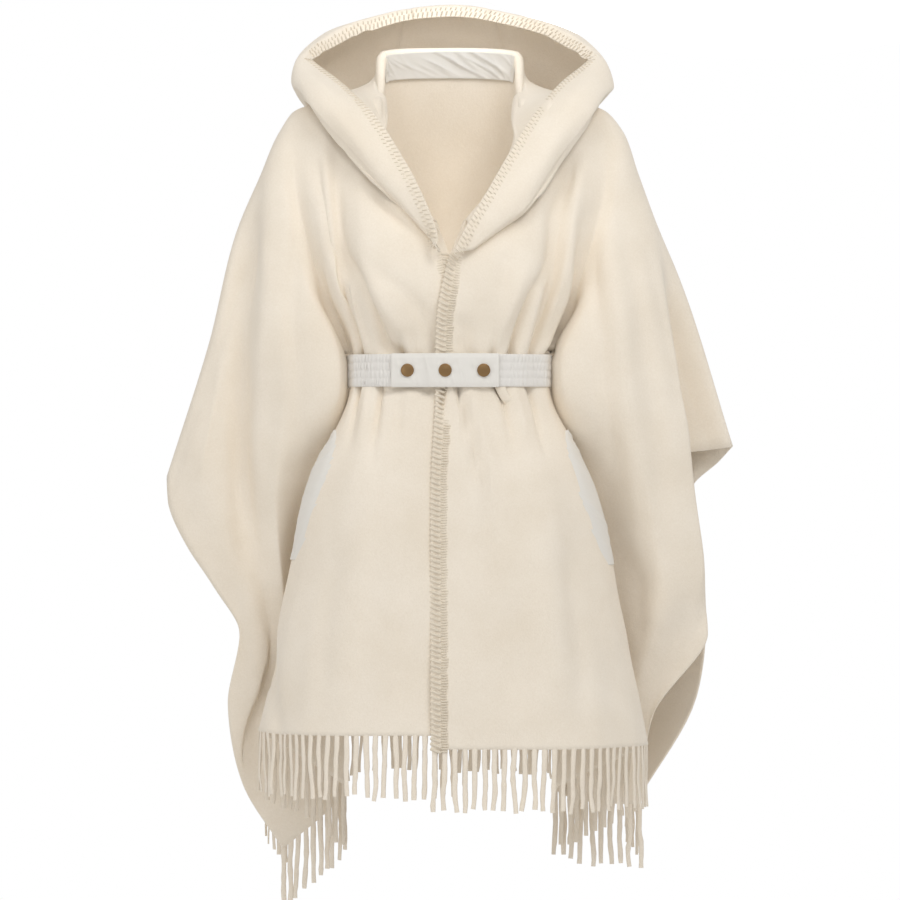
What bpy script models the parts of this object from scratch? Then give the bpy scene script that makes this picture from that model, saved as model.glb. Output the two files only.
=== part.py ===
"""A belted hooded cape of thick wool, worn open and hollow, with a fringed hem.

Run it with blender --background --python part.py, or from the text editor.
Millimetres in the tables, metres in the scene. +Z is up, the wearer faces -Y,
so the wearer's right hand is at -X. The origin is in the middle of the base of the neck.
"""

import math
import random

import bmesh
import bpy
import numpy as np

MM = 0.001

# Cloth and trims
WOOL = 2.4  # thickness of the felted wool
NYLON = 1.0  # thickness of the smooth nylon trims
FACING_GAP = 1.4  # space between a panel and the nylon facing on it
NECK_GAP = 2.4  # the same inside the back of the neck, where the panel turns

# Levels of the fold tables, from the shoulder down: top, chest, bust, waist, hip, thigh, low, hem.
# The waist level stands for two, at the upper and the lower edge of the belt's band.
WAIST = 3
WAIST_HEIGHT = -338
WAIST_BAND = 20  # half the height over which the belt holds the cloth upright
WAIST_SHARE = 0.18  # how far up and down the fold the same band reaches where the belt isn't felt
LAP = (6.5, 4.5, 2.2, 0.6)  # how far the left front lies in front of the right one, fold by fold
HOOD_LIFT = 6.0  # from the neck's edge out to the edge of the hood that is sewn over it
SHOULDER_GAP = 1.6  # between the edges of the front and the back that meet over the shoulder
STRIP_INSET = 0.75  # how far each of two hood pieces ends short of the seam between them

# Belt
BELT_HEIGHT = 35
BELT_THICK = 2.6
BELT_GAP = 0.8  # between the belt and the cloth that it gathers
TAB_HEIGHT = 41
TAB_THICK = 2.2
TAB_LEFT, TAB_RIGHT = -78, 62
SNAP_PLACES = (-52, -6, 41)
SNAP_RADIUS = 8.8
SNAP_TOP = 4.4  # radius of the flatter top
SNAP_HEIGHT = 2.6
SNAP_SIDES = 14
SLIT_PLACE = (132, -47)  # middle of the slit where the belt goes in, seen from above
SLIT_HALF = (12, 15)
SLIT_ROOM = 2.5  # above the belt and below it

# Fringe
STRAND_PITCH = 12.5
STRAND_WIDTH = 5.4
STRAND_LENGTH = 74
STRAND_SEGMENTS = 2
RAGGED = 6  # how much longer or shorter a strand may be
LEAN = 2.2  # how far its tip may stand to one side
SWAY = 1.2  # how far each of its points may stand off that line
STRIP_HEIGHT = 4
STRIP_GAP = 0.8  # from a level hem to the strip, and from the strip's ends to the hem's

# Grid steps between two neighbouring folds and two neighbouring levels
ACROSS = 2
FRONT_DOWN = 3
BACK_DOWN = 2
HOOD_DOWN = 3

# How much longer than the table each front is below the belt, the right one first
LENGTHENED = {-1: 1.009, 1: 1.047}
SKIRT = 430  # from the belt's lower edge to the hem in the table
FLARE = 0.57  # how much of the lengthening goes into the width

# One row for each fold line of a front, from the front edge out to the pleat beside the belt.
# A cell is the distance out from the middle, the depth (less is nearer the front) and the height.
BODY_FOLDS = (
    ("front edge", (18, -112, -158), (2, -118, -194), (-14, -124, -255), (-17, -117, -338),
     (-21, -141, -470), (-24, -160, -625), (-26, -168, -705), (-28, -174, -781)),
    ("breast", (48, -98, -122), (42, -116, -170), (38, -128, -240), (38, -117, -338),
     (48, -145, -470), (60, -163, -625), (66, -171, -705), (72, -177, -781)),
    ("bust", (75.5, -74.5, -72), (80, -103, -135), (75, -130, -238), (66, -112, -338),
     (86, -146, -470), (108, -165, -625), (119, -173, -705), (129, -180, -781)),
    ("neck side", (88, 8, 4), (108, -92, -118), (103, -119, -236), (88, -103, -338),
     (117, -137, -470), (145, -150, -625), (158, -156, -705), (171, -162, -781)),
    ("shoulder valley", (126, 5, 1), (140, -72, -110), (124, -94, -228), (104, -91, -338),
     (139, -118, -470), (170, -124, -625), (184, -128, -705), (199, -134, -781)),
    ("shoulder ridge", (152, 3, -3), (156, -73, -110), (139, -97, -232), (116, -82, -338),
     (157, -100, -470), (190, -102, -625), (206, -104, -705), (221, -106, -781)),
    ("pleat edge", (176, 2, -8), (175, -60, -112), (151, -80, -234), (125, -67, -338),
     (170, -74, -470), (205, -70, -625), (220, -68, -705), (234, -66, -781)),
    ("pleat inside", (194, 1, -15), (189, -50, -124), (158, -62, -236), (128, -47, -338),
     (128, -34, -470), (129, -26, -640), (129, -22, -740), (130, -18, -860)),
)

# The wing of the wearer's right front, from the pleat out to the side edge.
RIGHT_WING = (
    ("wing inner", (212, 0, -40), (204, -57, -140), (176, -74, -237), (152, -78, -340),
     (176, -36, -470), (196, -6, -640), (190, 2, -745), (150, -4, -885)),
    ("wing face", (236, -2, -95), (232, -50, -172), (212, -76, -262), (202, -84, -356),
     (216, -58, -487), (228, -22, -650), (222, 0, -760), (170, 2, -903)),
    ("wing valley", (262, -4, -155), (250, -26, -215), (254, -38, -290), (257, -42, -375),
     (258, -34, -500), (259, -14, -650), (247, 4, -775), (187, 5, -917)),
    ("wing outer", (300, -8, -305), (299, -36, -350), (300, -50, -405), (300, -50, -465),
     (292, -40, -560), (270, -16, -680), (262, 2, -800), (199, 6, -927)),
    ("side edge", (352, -14, -470), (350, -30, -505), (326, -38, -558), (297, -36, -602),
     (267, -22, -650), (276, -6, -755), (256, 4, -860), (209, 6, -935)),
)

# The wing of the wearer's left front, with a deep fold that hangs in front of its tip.
LEFT_WING = (
    ("wing inner", (214, 0, -38), (202, -58, -142), (180, -76, -237), (158, -84, -338),
     (190, -50, -470), (214, -30, -630), (205, -22, -730), (155, -12, -872)),
    ("wing face", (234, -2, -92), (229, -58, -175), (222, -88, -250), (222, -100, -352),
     (243, -92, -475), (262, -66, -610), (238, -34, -715), (178, -8, -876)),
    ("wing fold", (255, -5, -150), (264, -46, -222), (277, -66, -300), (291, -76, -390),
     (302, -74, -490), (311, -62, -600), (252, -30, -725), (200, -6, -878)),
    ("behind fold", (285, -6, -222), (268, -20, -268), (268, -26, -320), (275, -34, -400),
     (290, -40, -495), (316, -50, -630), (256, -26, -745), (220, -4, -879)),
    ("side edge", (352, -12, -433), (322, -14, -437), (290, -18, -442), (283, -26, -470),
     (292, -36, -560), (319, -44, -672), (254, -24, -765), (238, -4, -880)),
)

# Half of the back, from the middle out to the shoulder, and then each of its wings.
BACK_FOLDS = (
    ("back middle", (0, 80, 66), (0, 96, -100), (0, 104, -225), (0, 105, -340),
     (0, 115, -480), (0, 126, -620), (0, 130, -700), (0, 133, -770)),
    ("back fold", (84, 66, 60), (70, 104, -100), (70, 122, -225), (74, 126, -340),
     (82, 144, -480), (92, 162, -622), (98, 170, -703), (103, 176, -773)),
    ("neck side", (88, 11, 4), (125, 74, -100), (134, 82, -225), (138, 80, -345),
     (144, 88, -480), (150, 95, -628), (153, 97, -712), (156, 98, -786)),
    ("shoulder", (152, 4, -3), (176, 60, -100), (182, 84, -225), (188, 92, -345),
     (194, 104, -482), (198, 112, -640), (200, 112, -730), (201, 110, -808)),
    ("shoulder edge", (194, 1, -15), (198, 50, -108), (205, 69, -226), (212, 76, -345),
     (218, 83, -482), (221, 86, -643), (221, 86, -738), (219, 84, -822)),
)
RIGHT_BACK_WING = (
    ("wing inner", (212, 0, -40), (213, 42, -118), (222, 62, -228), (230, 68, -345),
     (236, 74, -482), (238, 74, -645), (236, 74, -745), (228, 72, -838)),
    ("wing face", (236, -2, -95), (240, 32, -165), (250, 46, -250), (258, 50, -360),
     (262, 54, -490), (256, 56, -655), (246, 62, -755), (229, 64, -850)),
    ("wing valley", (262, -4, -155), (268, 22, -215), (278, 32, -290), (284, 36, -385),
     (282, 42, -505), (262, 46, -665), (250, 52, -770), (223, 58, -862)),
    ("wing outer", (300, -8, -305), (306, 12, -350), (310, 22, -410), (306, 28, -475),
     (296, 34, -565), (264, 40, -690), (252, 46, -800), (215, 56, -872)),
    ("side edge", (352, -14, -470), (346, 6, -510), (316, 20, -556), (282, 28, -600),
     (252, 32, -655), (252, 40, -745), (234, 48, -835), (207, 58, -880)),
)
LEFT_BACK_WING = (
    ("wing inner", (214, 0, -38), (214, 42, -118), (222, 62, -228), (230, 68, -345),
     (236, 74, -482), (238, 74, -645), (236, 70, -745), (224, 66, -845)),
    ("wing face", (234, -2, -92), (238, 32, -162), (250, 46, -248), (260, 52, -360),
     (266, 54, -490), (268, 52, -650), (258, 50, -755), (228, 54, -858)),
    ("wing fold", (255, -5, -150), (262, 22, -207), (274, 34, -285), (284, 38, -385),
     (288, 38, -505), (288, 36, -655), (274, 38, -765), (232, 44, -864)),
    ("behind fold", (285, -6, -222), (290, 14, -264), (292, 24, -325), (293, 26, -400),
     (296, 24, -500), (302, 20, -650), (290, 26, -760), (235, 36, -868)),
    ("side edge", (352, -12, -433), (336, 2, -451), (305, 8, -480), (302, 8, -520),
     (308, 6, -572), (319, 2, -642), (308, 9, -746), (238, 28, -872)),
)

# Half of the hood as it lies, from the front corner of the neck to the seam of its centre strip.
# After its name a row has its place on the neck seam, counted in folds of the front or of the back.
# Then come a point under the roll, its lowest fold, its side, its top and the rim.
RIGHT_HOOD = (
    ("front corner", 0, (17, -119, -168), (21, -121, -178), (20, -125, -182),
     (13, -127, -187), (3, -127, -191)),
    ("lapel", 1, (60, -108, -122), (78, -110, -125), (77, -118, -121),
     (62, -123, -112), (45, -117, -105)),
    ("collar", 2, (104, -92, -64), (137, -78, -60), (138, -86, -50),
     (118, -92, -36), (93, -80, -25)),
    ("neck front", 2.5, (124, -66, -2), (166, -54, -22), (170, -62, -12),
     (150, -62, 6), (120, -44, 4)),
    ("neck side", 3, (132, 8, 10), (186, 2, 4), (196, 0, 18),
     (192, 10, 44), (174, 24, 61)),
    ("neck back", -1.5, (115, 80, 15), (152, 76, -38), (176, 92, -8),
     (156, 92, 91), (115, 66, 104)),
    ("strip seam", -1, (66, 112, -12), (70, 122, -106), (84, 156, -50),
     (56, 136, 119), (46, 92, 122)),
)
LEFT_HOOD = (
    ("front corner", 0, (20, -128, -172), (30, -131, -187), (29, -135, -191),
     (18, -137, -193), (4, -135, -192)),
    ("lapel", 1, (66, -116, -128), (92, -119, -146), (92, -128, -142),
     (72, -133, -134), (45, -124, -123)),
    ("collar", 2, (104, -94, -70), (138, -86, -82), (139, -94, -74),
     (118, -102, -58), (90, -88, -44)),
    ("neck front", 2.5, (123, -67, -9), (174, -54, -30), (178, -63, -18),
     (154, -66, 0), (121, -48, 0)),
    ("neck side", 3, (132, 8, 10), (190, 2, 0), (204, 0, 14),
     (196, 10, 42), (174, 24, 61)),
    ("neck back", -1.5, (115, 80, 15), (152, 76, -38), (176, 92, -8),
     (156, 92, 91), (120, 66, 102)),
    ("strip seam", -1, (66, 112, -12), (70, 122, -106), (84, 156, -50),
     (56, 136, 119), (46, 92, 122)),
)
HOOD_MIDDLE = ("crown", 0, (0, 110, -20), (0, 129, -118), (0, 172, -50),
               (0, 146, 123), (0, 98, 127))

# The belt's way through the inside, from the slit in the valley to the middle of the back.
BELT_INSIDE = ((131.5, -60), (131.5, -46), (132, -20), (133, 12), (124, 48), (98, 78), (52, 95), (0, 99))

# Nylon facing of a pocket mouth: place down the front, then its two edges counted in folds.
POCKET_FACING = ((4.5, 5.5, 6.06), (4.667, 5.52, 6.12), (5.0, 5.6, 6.14), (5.333, 5.7, 6.1),
                 (5.667, 5.84, 6.06))


def smooth_line(points, steps, start=None):
    """A smooth curve through the points, straighter where it turns a sharp corner."""
    points = np.asarray(points, float)
    legs = np.diff(points, axis=0)
    lengths = np.maximum(np.linalg.norm(legs, axis=1), 1e-6)[:, None]
    slopes = legs / lengths
    tangents = np.empty_like(points)
    turning = (1 + (slopes[:-1] * slopes[1:]).sum(axis=1, keepdims=True)) / 2
    mixed = (slopes[:-1] * lengths[1:] + slopes[1:] * lengths[:-1]) / (lengths[:-1] + lengths[1:])
    tangents[1:-1] = mixed * turning**2
    tangents[0] = slopes[0] if start is None else start
    tangents[-1] = slopes[-1]
    t = (np.arange(steps) / steps)[:, None]
    line = []
    for i, length in enumerate(lengths):
        line.append(
            (2 * t**3 - 3 * t**2 + 1) * points[i]
            + (t**3 - 2 * t**2 + t) * tangents[i] * length
            + (3 * t**2 - 2 * t**3) * points[i + 1]
            + (t**3 - t**2) * tangents[i + 1] * length
        )
    line.append(points[-1:])
    return np.concatenate(line)


class Sheet:
    """A piece of cloth as a grid of points, in millimetres: first along its width, then down."""

    def __init__(self, folds, down, starts=None):
        starts = starts or [None] * len(folds)
        lines = np.array([smooth_line(fold, down, start) for fold, start in zip(folds, starts)])
        rows = [smooth_line(lines[:, level], ACROSS) for level in range(lines.shape[1])]
        self.down = down
        self.points = np.array(rows).transpose(1, 0, 2)
        normals = unit(np.cross(np.gradient(self.points, axis=0), np.gradient(self.points, axis=1)))
        outward = self.points * (1, 1, 0)
        self.normals = normals * np.sign((normals * outward).sum())

    def at(self, fold, level, lift=0.0):
        """The point at a place counted in folds and levels, moved out by that much."""
        i = min(max(fold * ACROSS, 0), self.points.shape[0] - 1)
        j = min(max(level * self.down, 0), self.points.shape[1] - 1)
        i0, j0 = min(int(i), self.points.shape[0] - 2), min(int(j), self.points.shape[1] - 2)
        a, b = i - i0, j - j0
        lifted = self.points + self.normals * lift
        near = lifted[i0, j0] * (1 - a) + lifted[i0 + 1, j0] * a
        far = lifted[i0, j0 + 1] * (1 - a) + lifted[i0 + 1, j0 + 1] * a
        return near * (1 - b) + far * b


def unit(vectors):
    vectors = np.asarray(vectors, float)
    return vectors / np.maximum(np.linalg.norm(vectors, axis=-1, keepdims=True), 1e-9)


def sided(points, side):
    """The points of a half table on one side of the garment, +1 for the wearer's left."""
    return np.array(points, float) * (side, 1, 1)


def banded(fold, belted):
    """A fold line whose waist point is made two, upright where the belt holds the cloth."""
    before, point, after = np.array(fold[WAIST - 1 : WAIST + 2], float)
    if belted:
        pair = point + (0, 0, WAIST_BAND), point - (0, 0, WAIST_BAND)
    else:
        pair = point + (before - point) * WAIST_SHARE, point + (after - point) * WAIST_SHARE
    return [*fold[:WAIST], *pair, *fold[WAIST + 1 :]]


def front_sheet(wing, side):
    folds = []
    starts = []
    for i, (name, *fold) in enumerate(BODY_FOLDS + wing):
        points = sided(banded(fold, i <= len(BODY_FOLDS)), side)
        if i < len(BODY_FOLDS) - 1:
            share = np.maximum(0, WAIST_HEIGHT - WAIST_BAND - points[:, 2:]) / SKIRT
            points[:, ::2] *= 1 + (LENGTHENED[side] - 1) * share * (1, FLARE)
        if side > 0 and i < len(LAP):
            points[:, 1] -= LAP[i]
        folds.append(points)
        starts.append((0, -1, 0) if i > 2 else None)
    return Sheet(folds, FRONT_DOWN, starts)


def back_sheet():
    right = [sided(fold, -1) for name, *fold in BACK_FOLDS + RIGHT_BACK_WING]
    left = [sided(fold, 1) for name, *fold in BACK_FOLDS + LEFT_BACK_WING]
    folds = right[:0:-1] + left
    middle = len(right) - 1
    starts = []
    for i, fold in enumerate(folds):
        over_shoulder = abs(i - middle) > 1
        starts.append((0, 1, 0) if over_shoulder else None)
        if over_shoulder:
            fold[0, 1] += SHOULDER_GAP
    return Sheet(folds, BACK_DOWN, starts), middle


def hood_sheet(fronts, back, middle):
    """The whole hood, from its corner on the right front round the back to that on the left."""
    halves = []
    for side, table in ((-1, RIGHT_HOOD), (1, LEFT_HOOD)):
        half = []
        for name, place, *points in table:
            if place < 0:
                seam = back.at(middle - side * place, 0, HOOD_LIFT)
            else:
                seam = fronts[side].at(place, 0, HOOD_LIFT)
            half.append(np.vstack((seam, sided(points, side))))
        halves.append(half)
    crown = np.vstack((back.at(middle, 0, HOOD_LIFT), HOOD_MIDDLE[2:]))
    return Sheet(halves[0] + [crown] + halves[1][::-1], HOOD_DOWN)


def material(name, colour, roughness, metallic=0.0):
    made = bpy.data.materials.new(name)
    made.use_nodes = True
    shader = made.node_tree.nodes["Principled BSDF"]
    shader.inputs["Base Color"].default_value = (*colour, 1.0)
    shader.inputs["Roughness"].default_value = roughness
    shader.inputs["Metallic"].default_value = metallic
    return made


def link(name, points, faces, finish, collection):
    mesh = bpy.data.meshes.new(name)
    mesh.from_pydata((np.asarray(points) * MM).tolist(), [], faces)
    mesh.shade_smooth()
    mesh.materials.append(finish)
    piece = bpy.data.objects.new(name, mesh)
    collection.objects.link(piece)
    return piece


def loft(name, grid, thickness, finish, collection, closed=False):
    """A wall of cloth through a grid of points, that may close round on itself."""
    grid = np.asarray(grid)
    rows, columns = grid.shape[:2]
    faces = []
    for i in range(rows if closed else rows - 1):
        near, far = i * columns, (i + 1) % rows * columns
        faces += [(near + j, near + j + 1, far + j + 1, far + j) for j in range(columns - 1)]
    piece = link(name, grid.reshape(-1, 3), faces, finish, collection)
    wall = piece.modifiers.new("wall", "SOLIDIFY")
    wall.thickness = thickness * MM
    wall.offset = 0
    wall.use_quality_normals = True
    return piece


def band(path, height, centre=WAIST_HEIGHT):
    """The grid of an upright band along a path seen from above."""
    path = np.asarray(path)[:, :2]
    heights = (centre + height / 2, centre - height / 2)
    return np.array([[(x, y, z) for z in heights] for x, y in path])


def belt_front(fronts, lift):
    """The line of the belt over both gathered fronts, from the right slit to the left one."""
    level = WAIST + 0.5
    halves = np.arange(0, len(BODY_FOLDS) - 1.5, 0.5)
    left = [fronts[1].at(fold, level, lift) for fold in halves]
    right = [fronts[-1].at(fold, level, lift) for fold in halves[::-1]]
    return np.array([point for point in right if point[0] < left[0][0] - 3] + left)


def cut_slit(front, side, cutters):
    """The slit in the valley beside the body, where the belt goes in."""
    half = np.array((*SLIT_HALF, BELT_HEIGHT / 2 + SLIT_ROOM)) * MM
    centre = np.array((side * SLIT_PLACE[0], SLIT_PLACE[1], WAIST_HEIGHT)) * MM
    mesh = bpy.data.meshes.new("slit")
    cutter_mesh = bmesh.new()
    bmesh.ops.create_cube(cutter_mesh, size=2)
    bmesh.ops.scale(cutter_mesh, vec=half, verts=cutter_mesh.verts)
    bmesh.ops.translate(cutter_mesh, vec=centre, verts=cutter_mesh.verts)
    cutter_mesh.to_mesh(mesh)
    cutter_mesh.free()
    cutter = bpy.data.objects.new("slit_cutter_" + front.name, mesh)
    cutters.objects.link(cutter)
    cutter.hide_render = True
    cutter.display_type = "WIRE"
    slit = front.modifiers.new("belt slit", "BOOLEAN")
    slit.operation = "DIFFERENCE"
    slit.solver = "EXACT"
    slit.object = cutter


def snap(name, centre, outward, finish, collection):
    """The domed cap of a snap fastener."""
    profile = ((SNAP_RADIUS, 0.0), (SNAP_RADIUS, 0.9), (SNAP_RADIUS - 1.4, 1.9), (SNAP_TOP, SNAP_HEIGHT))
    across = np.cross((0, 0, 1), outward)
    across /= np.linalg.norm(across)
    upright = np.cross(outward, across)
    sides = SNAP_SIDES
    points = [centre]
    for radius, height in profile:
        for i in range(sides):
            angle = 2 * math.pi * i / sides
            around = across * math.cos(angle) + upright * math.sin(angle)
            points.append(centre + around * radius + outward * height)
    points.append(centre + outward * (SNAP_HEIGHT + 0.3))
    top = len(points) - 1
    faces = []
    for i in range(sides):
        following = (i + 1) % sides
        faces.append((0, 1 + following, 1 + i))
        for ring in range(len(profile) - 1):
            low, high = 1 + ring * sides, 1 + (ring + 1) * sides
            faces.append((low + i, low + following, high + following, high + i))
        last = 1 + (len(profile) - 1) * sides
        faces.append((last + i, last + following, top))
    return link(name, points, faces, finish, collection)


def fringe(name, sheet, finish, collection, seed):
    """Loose strands whose roots are one with a narrow strip just under a hem."""
    rng = random.Random(seed)
    hem = sheet.points[:, -1]
    legs = np.abs(np.diff(hem, axis=0))
    steep = np.minimum(legs[:, 2] / np.maximum(np.hypot(legs[:, 0], legs[:, 1]), 1), 3)
    steep = np.maximum(np.append(steep, 0), np.append(0, steep))
    drops = (STRIP_GAP + WOOL * np.abs(sheet.normals[:, -1, 2])) * (1 + steep)
    along = np.concatenate(([0], np.cumsum(np.linalg.norm(np.diff(hem, axis=0), axis=1))))
    length = along[-1]
    count = int(length / STRAND_PITCH)
    stations = [STRIP_GAP]
    for i in range(count):
        centre = (i + 0.5) * length / count
        stations += [centre - STRAND_WIDTH / 2, centre + STRAND_WIDTH / 2]
    stations.append(length - STRIP_GAP)
    place = lambda s: np.array([np.interp(s, along, hem[:, k]) for k in range(3)])
    half = WOOL / 2 - 0.1
    points = []
    frames = []
    for s in stations:
        ahead = place(min(s + 4, length)) - place(max(s - 4, 0))
        ahead[2] = 0
        ahead /= np.linalg.norm(ahead)
        side = np.array((ahead[1], -ahead[0], 0))
        root = place(s)
        frames.append((root, ahead, side))
        root[2] -= np.interp(s, along, drops)
        top, bottom = root, root - (0, 0, STRIP_HEIGHT)
        points += [top + side * half, top - side * half, bottom - side * half, bottom + side * half]
    faces = [(0, 1, 2, 3)]
    for k in range(len(stations) - 1):
        a, b = 4 * k, 4 * (k + 1)
        faces += [(a, b, b + 1, a + 1), (a + 1, b + 1, b + 2, a + 2), (a + 3, b + 3, b, a)]
        if k % 2 == 0:
            faces.append((a + 2, b + 2, b + 3, a + 3))
            continue
        ring = [a + 3, b + 3, b + 2, a + 2]
        root = (frames[k][0] + frames[k + 1][0]) / 2 - (0, 0, STRIP_HEIGHT)
        ahead = frames[k][1] + frames[k + 1][1]
        ahead /= np.linalg.norm(ahead)
        side = np.array((ahead[1], -ahead[0], 0))
        reach = STRAND_LENGTH + rng.uniform(-RAGGED, RAGGED)
        lean = rng.uniform(-LEAN, LEAN)
        for segment in range(1, STRAND_SEGMENTS + 1):
            share = segment / STRAND_SEGMENTS
            sway = lean * share + rng.uniform(-SWAY, SWAY)
            centre = root + ahead * sway - np.array((0, 0, reach * share))
            width = STRAND_WIDTH / 2 * (1 - 0.35 * share)
            depth = half * (1 - 0.3 * share)
            first = len(points)
            for u, v in ((-1, 1), (1, 1), (1, -1), (-1, -1)):
                points.append(centre + ahead * u * width + side * v * depth)
            grown = [first, first + 1, first + 2, first + 3]
            for i in range(4):
                j = (i + 1) % 4
                faces.append((ring[i], ring[j], grown[j], grown[i]))
            ring = grown
        faces.append(tuple(ring))
    end = 4 * (len(stations) - 1)
    faces.append((end + 3, end + 2, end + 1, end))
    piece = link(name, points, faces, finish, collection)
    whole = bmesh.new()
    whole.from_mesh(piece.data)
    bmesh.ops.recalc_face_normals(whole, faces=whole.faces)
    whole.to_mesh(piece.data)
    whole.free()
    return piece


def clear_scene():
    for item in list(bpy.data.objects):
        bpy.data.objects.remove(item)


def new_collection(name):
    made = bpy.data.collections.new(name)
    bpy.context.scene.collection.children.link(made)
    return made


def main():
    clear_scene()
    cape = new_collection("hooded_cape")
    cutters = new_collection("cutters")
    wool = material("ivory_wool", (0.80, 0.74, 0.62), 0.95)
    nylon = material("white_nylon", (0.82, 0.79, 0.73), 0.5)
    elastic = material("belt_elastic", (0.80, 0.77, 0.72), 0.7)
    brass = material("antique_brass", (0.33, 0.20, 0.09), 0.42, 1.0)

    fronts = {-1: front_sheet(RIGHT_WING, -1), 1: front_sheet(LEFT_WING, 1)}
    back, middle = back_sheet()
    names = {-1: "right", 1: "left"}
    for side, sheet in fronts.items():
        front = loft("front_" + names[side], sheet.points, WOOL, wool, cape)
        cut_slit(front, side, cutters)
        fringe("fringe_front_" + names[side], sheet, wool, cape, 5 + side)
        lift = WOOL / 2 + NYLON / 2 + FACING_GAP
        facing = [
            [sheet.at(fold, level, lift) for fold in (a, (a + 6) / 2, 6, b)] for level, a, b in POCKET_FACING
        ]
        loft("pocket_facing_" + names[side], facing, NYLON, nylon, cape)
    loft("back_panel", back.points, WOOL, wool, cape)
    fringe("fringe_back", back, wool, cape, 11)

    hood = hood_sheet(fronts, back, middle).points
    seam = (len(RIGHT_HOOD) - 1) * ACROSS
    pieces = {"hood_right": hood[: seam + 1], "hood_centre": hood[seam:-seam], "hood_left": hood[-seam - 1 :]}
    for name, grid in pieces.items():
        grid = grid.copy()
        if name != "hood_left":
            grid[-1] += unit(grid[-2] - grid[-1]) * STRIP_INSET
        if name != "hood_right":
            grid[0] += unit(grid[1] - grid[0]) * STRIP_INSET
        loft(name, grid, WOOL, wool, cape)

    reach = np.arange(-1, 1.1, 0.5)
    lift = -(WOOL / 2 + NYLON / 2 + NECK_GAP)
    neck = [[back.at(middle + t, level, lift) for level in (0.02, 0.13, 0.24)] for t in reach]
    loft("neck_facing", neck, NYLON, nylon, cape)

    line = belt_front(fronts, WOOL / 2 + BELT_GAP + BELT_THICK / 2)
    inside = np.array(BELT_INSIDE, float)
    ring = [*line[:, :2], *inside[:-1], *(inside[::-1] * (-1, 1))]
    loft("belt_band", band(ring, BELT_HEIGHT), BELT_THICK, elastic, cape, closed=True)
    lift = WOOL / 2 + BELT_GAP + BELT_THICK + 0.5 + TAB_THICK / 2
    line = belt_front(fronts, lift)
    places = [TAB_LEFT, *(x for x in line[:, 0] if TAB_LEFT + 3 < x < TAB_RIGHT - 3), TAB_RIGHT]
    tab = np.column_stack((places, np.interp(places, line[:, 0], line[:, 1])))
    loft("belt_tab", band(tab, TAB_HEIGHT), TAB_THICK, nylon, cape)
    for number, place in enumerate(SNAP_PLACES, 1):
        depth = np.interp((place - 6, place, place + 6), line[:, 0], line[:, 1])
        outward = np.array((depth[2] - depth[0], -12.0, 0))
        outward /= np.linalg.norm(outward)
        centre = np.array((place, depth[1], WAIST_HEIGHT)) + outward * (TAB_THICK / 2 + 0.6)
        snap("snap_%d" % number, centre, outward, brass, cape)


main()
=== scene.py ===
"""The looks of a belted hooded cape: thick felted wool, whip-stitched edges, a nylon belt and a cut fringe.

Tables are in millimetres, as in the part's own source. The wearer faces -Y and +Z is up.
"""

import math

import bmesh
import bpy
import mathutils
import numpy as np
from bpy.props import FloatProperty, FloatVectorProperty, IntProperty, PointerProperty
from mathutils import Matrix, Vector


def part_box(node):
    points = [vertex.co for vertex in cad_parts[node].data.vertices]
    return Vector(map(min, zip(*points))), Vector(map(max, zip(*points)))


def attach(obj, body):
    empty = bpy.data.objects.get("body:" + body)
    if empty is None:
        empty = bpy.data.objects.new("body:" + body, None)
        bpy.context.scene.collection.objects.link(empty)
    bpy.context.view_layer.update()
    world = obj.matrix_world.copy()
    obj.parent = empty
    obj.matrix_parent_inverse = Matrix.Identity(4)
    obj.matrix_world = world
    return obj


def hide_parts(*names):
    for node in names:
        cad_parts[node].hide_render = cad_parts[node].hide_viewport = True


bl_info = {
    "name": "Hooded Wool Cape",
    "version": (1, 0, 0),
    "blender": (4, 5, 0),
    "location": "View3D > Sidebar > Cape",
    "description": "Dresses the solids of a belted, fringed wool cape with cloth, stitching and trims",
    "category": "Object",
}

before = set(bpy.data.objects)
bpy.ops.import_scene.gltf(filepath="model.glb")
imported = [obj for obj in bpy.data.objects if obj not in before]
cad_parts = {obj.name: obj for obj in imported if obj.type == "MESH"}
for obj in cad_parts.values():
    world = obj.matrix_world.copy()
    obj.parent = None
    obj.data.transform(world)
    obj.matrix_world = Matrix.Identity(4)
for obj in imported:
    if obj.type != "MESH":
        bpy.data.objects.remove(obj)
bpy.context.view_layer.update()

MM = 0.001
BODY = "root"
HOOD_CLOTH = "hood_cloth"  # the pieces that the lamp in the hood lights
FORWARD = (0, -1, 0)
FLOOR_HEIGHT = -1.5
CAMERA_PLACE = (0, -7, -0.4375)
LENS = 224
SENSOR = 36
ROOM_LIGHT = 0.56
WALL_LIGHT = 1.0  # as the camera sees it
AIM = (0, 0, -0.45)
WHITE = (1.0, 1.0, 1.0)

# Each lamp: its kind, place and aim, its size and power, its tone, and whether the camera sees it.
LAMPS = (
    ("key", "AREA", (1.25, -2.1, 2.0), AIM, 1.3, 28, (0.985, 0.99, 1.0), True),
    ("front", "AREA", (-1.1, -2.6, 2.1), AIM, 1.7, 21, (0.99, 0.99, 1.0), True),
    ("fill", "AREA", (-3.4, -3.4, -0.2), AIM, 2.6, 14, (1.0, 0.99, 0.98), True),
    ("back", "AREA", (0.6, 4.6, 1.6), AIM, 2.6, 48, (1.0, 0.99, 0.98), True),
    ("inside", "POINT", (0, -0.05, -0.215), (0, 0, 0), 0.05, 0.22, WHITE, False),
    ("hood", "AREA", (0, -0.005, 0.1), (0, 0.1, 0.107), 0.14, 0.07, WHITE, False),
    ("top", "SPOT", (0.3, -2.3, 0.7), (0, -0.08, 0.0), 0.25, 34, WHITE, False),
)

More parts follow.
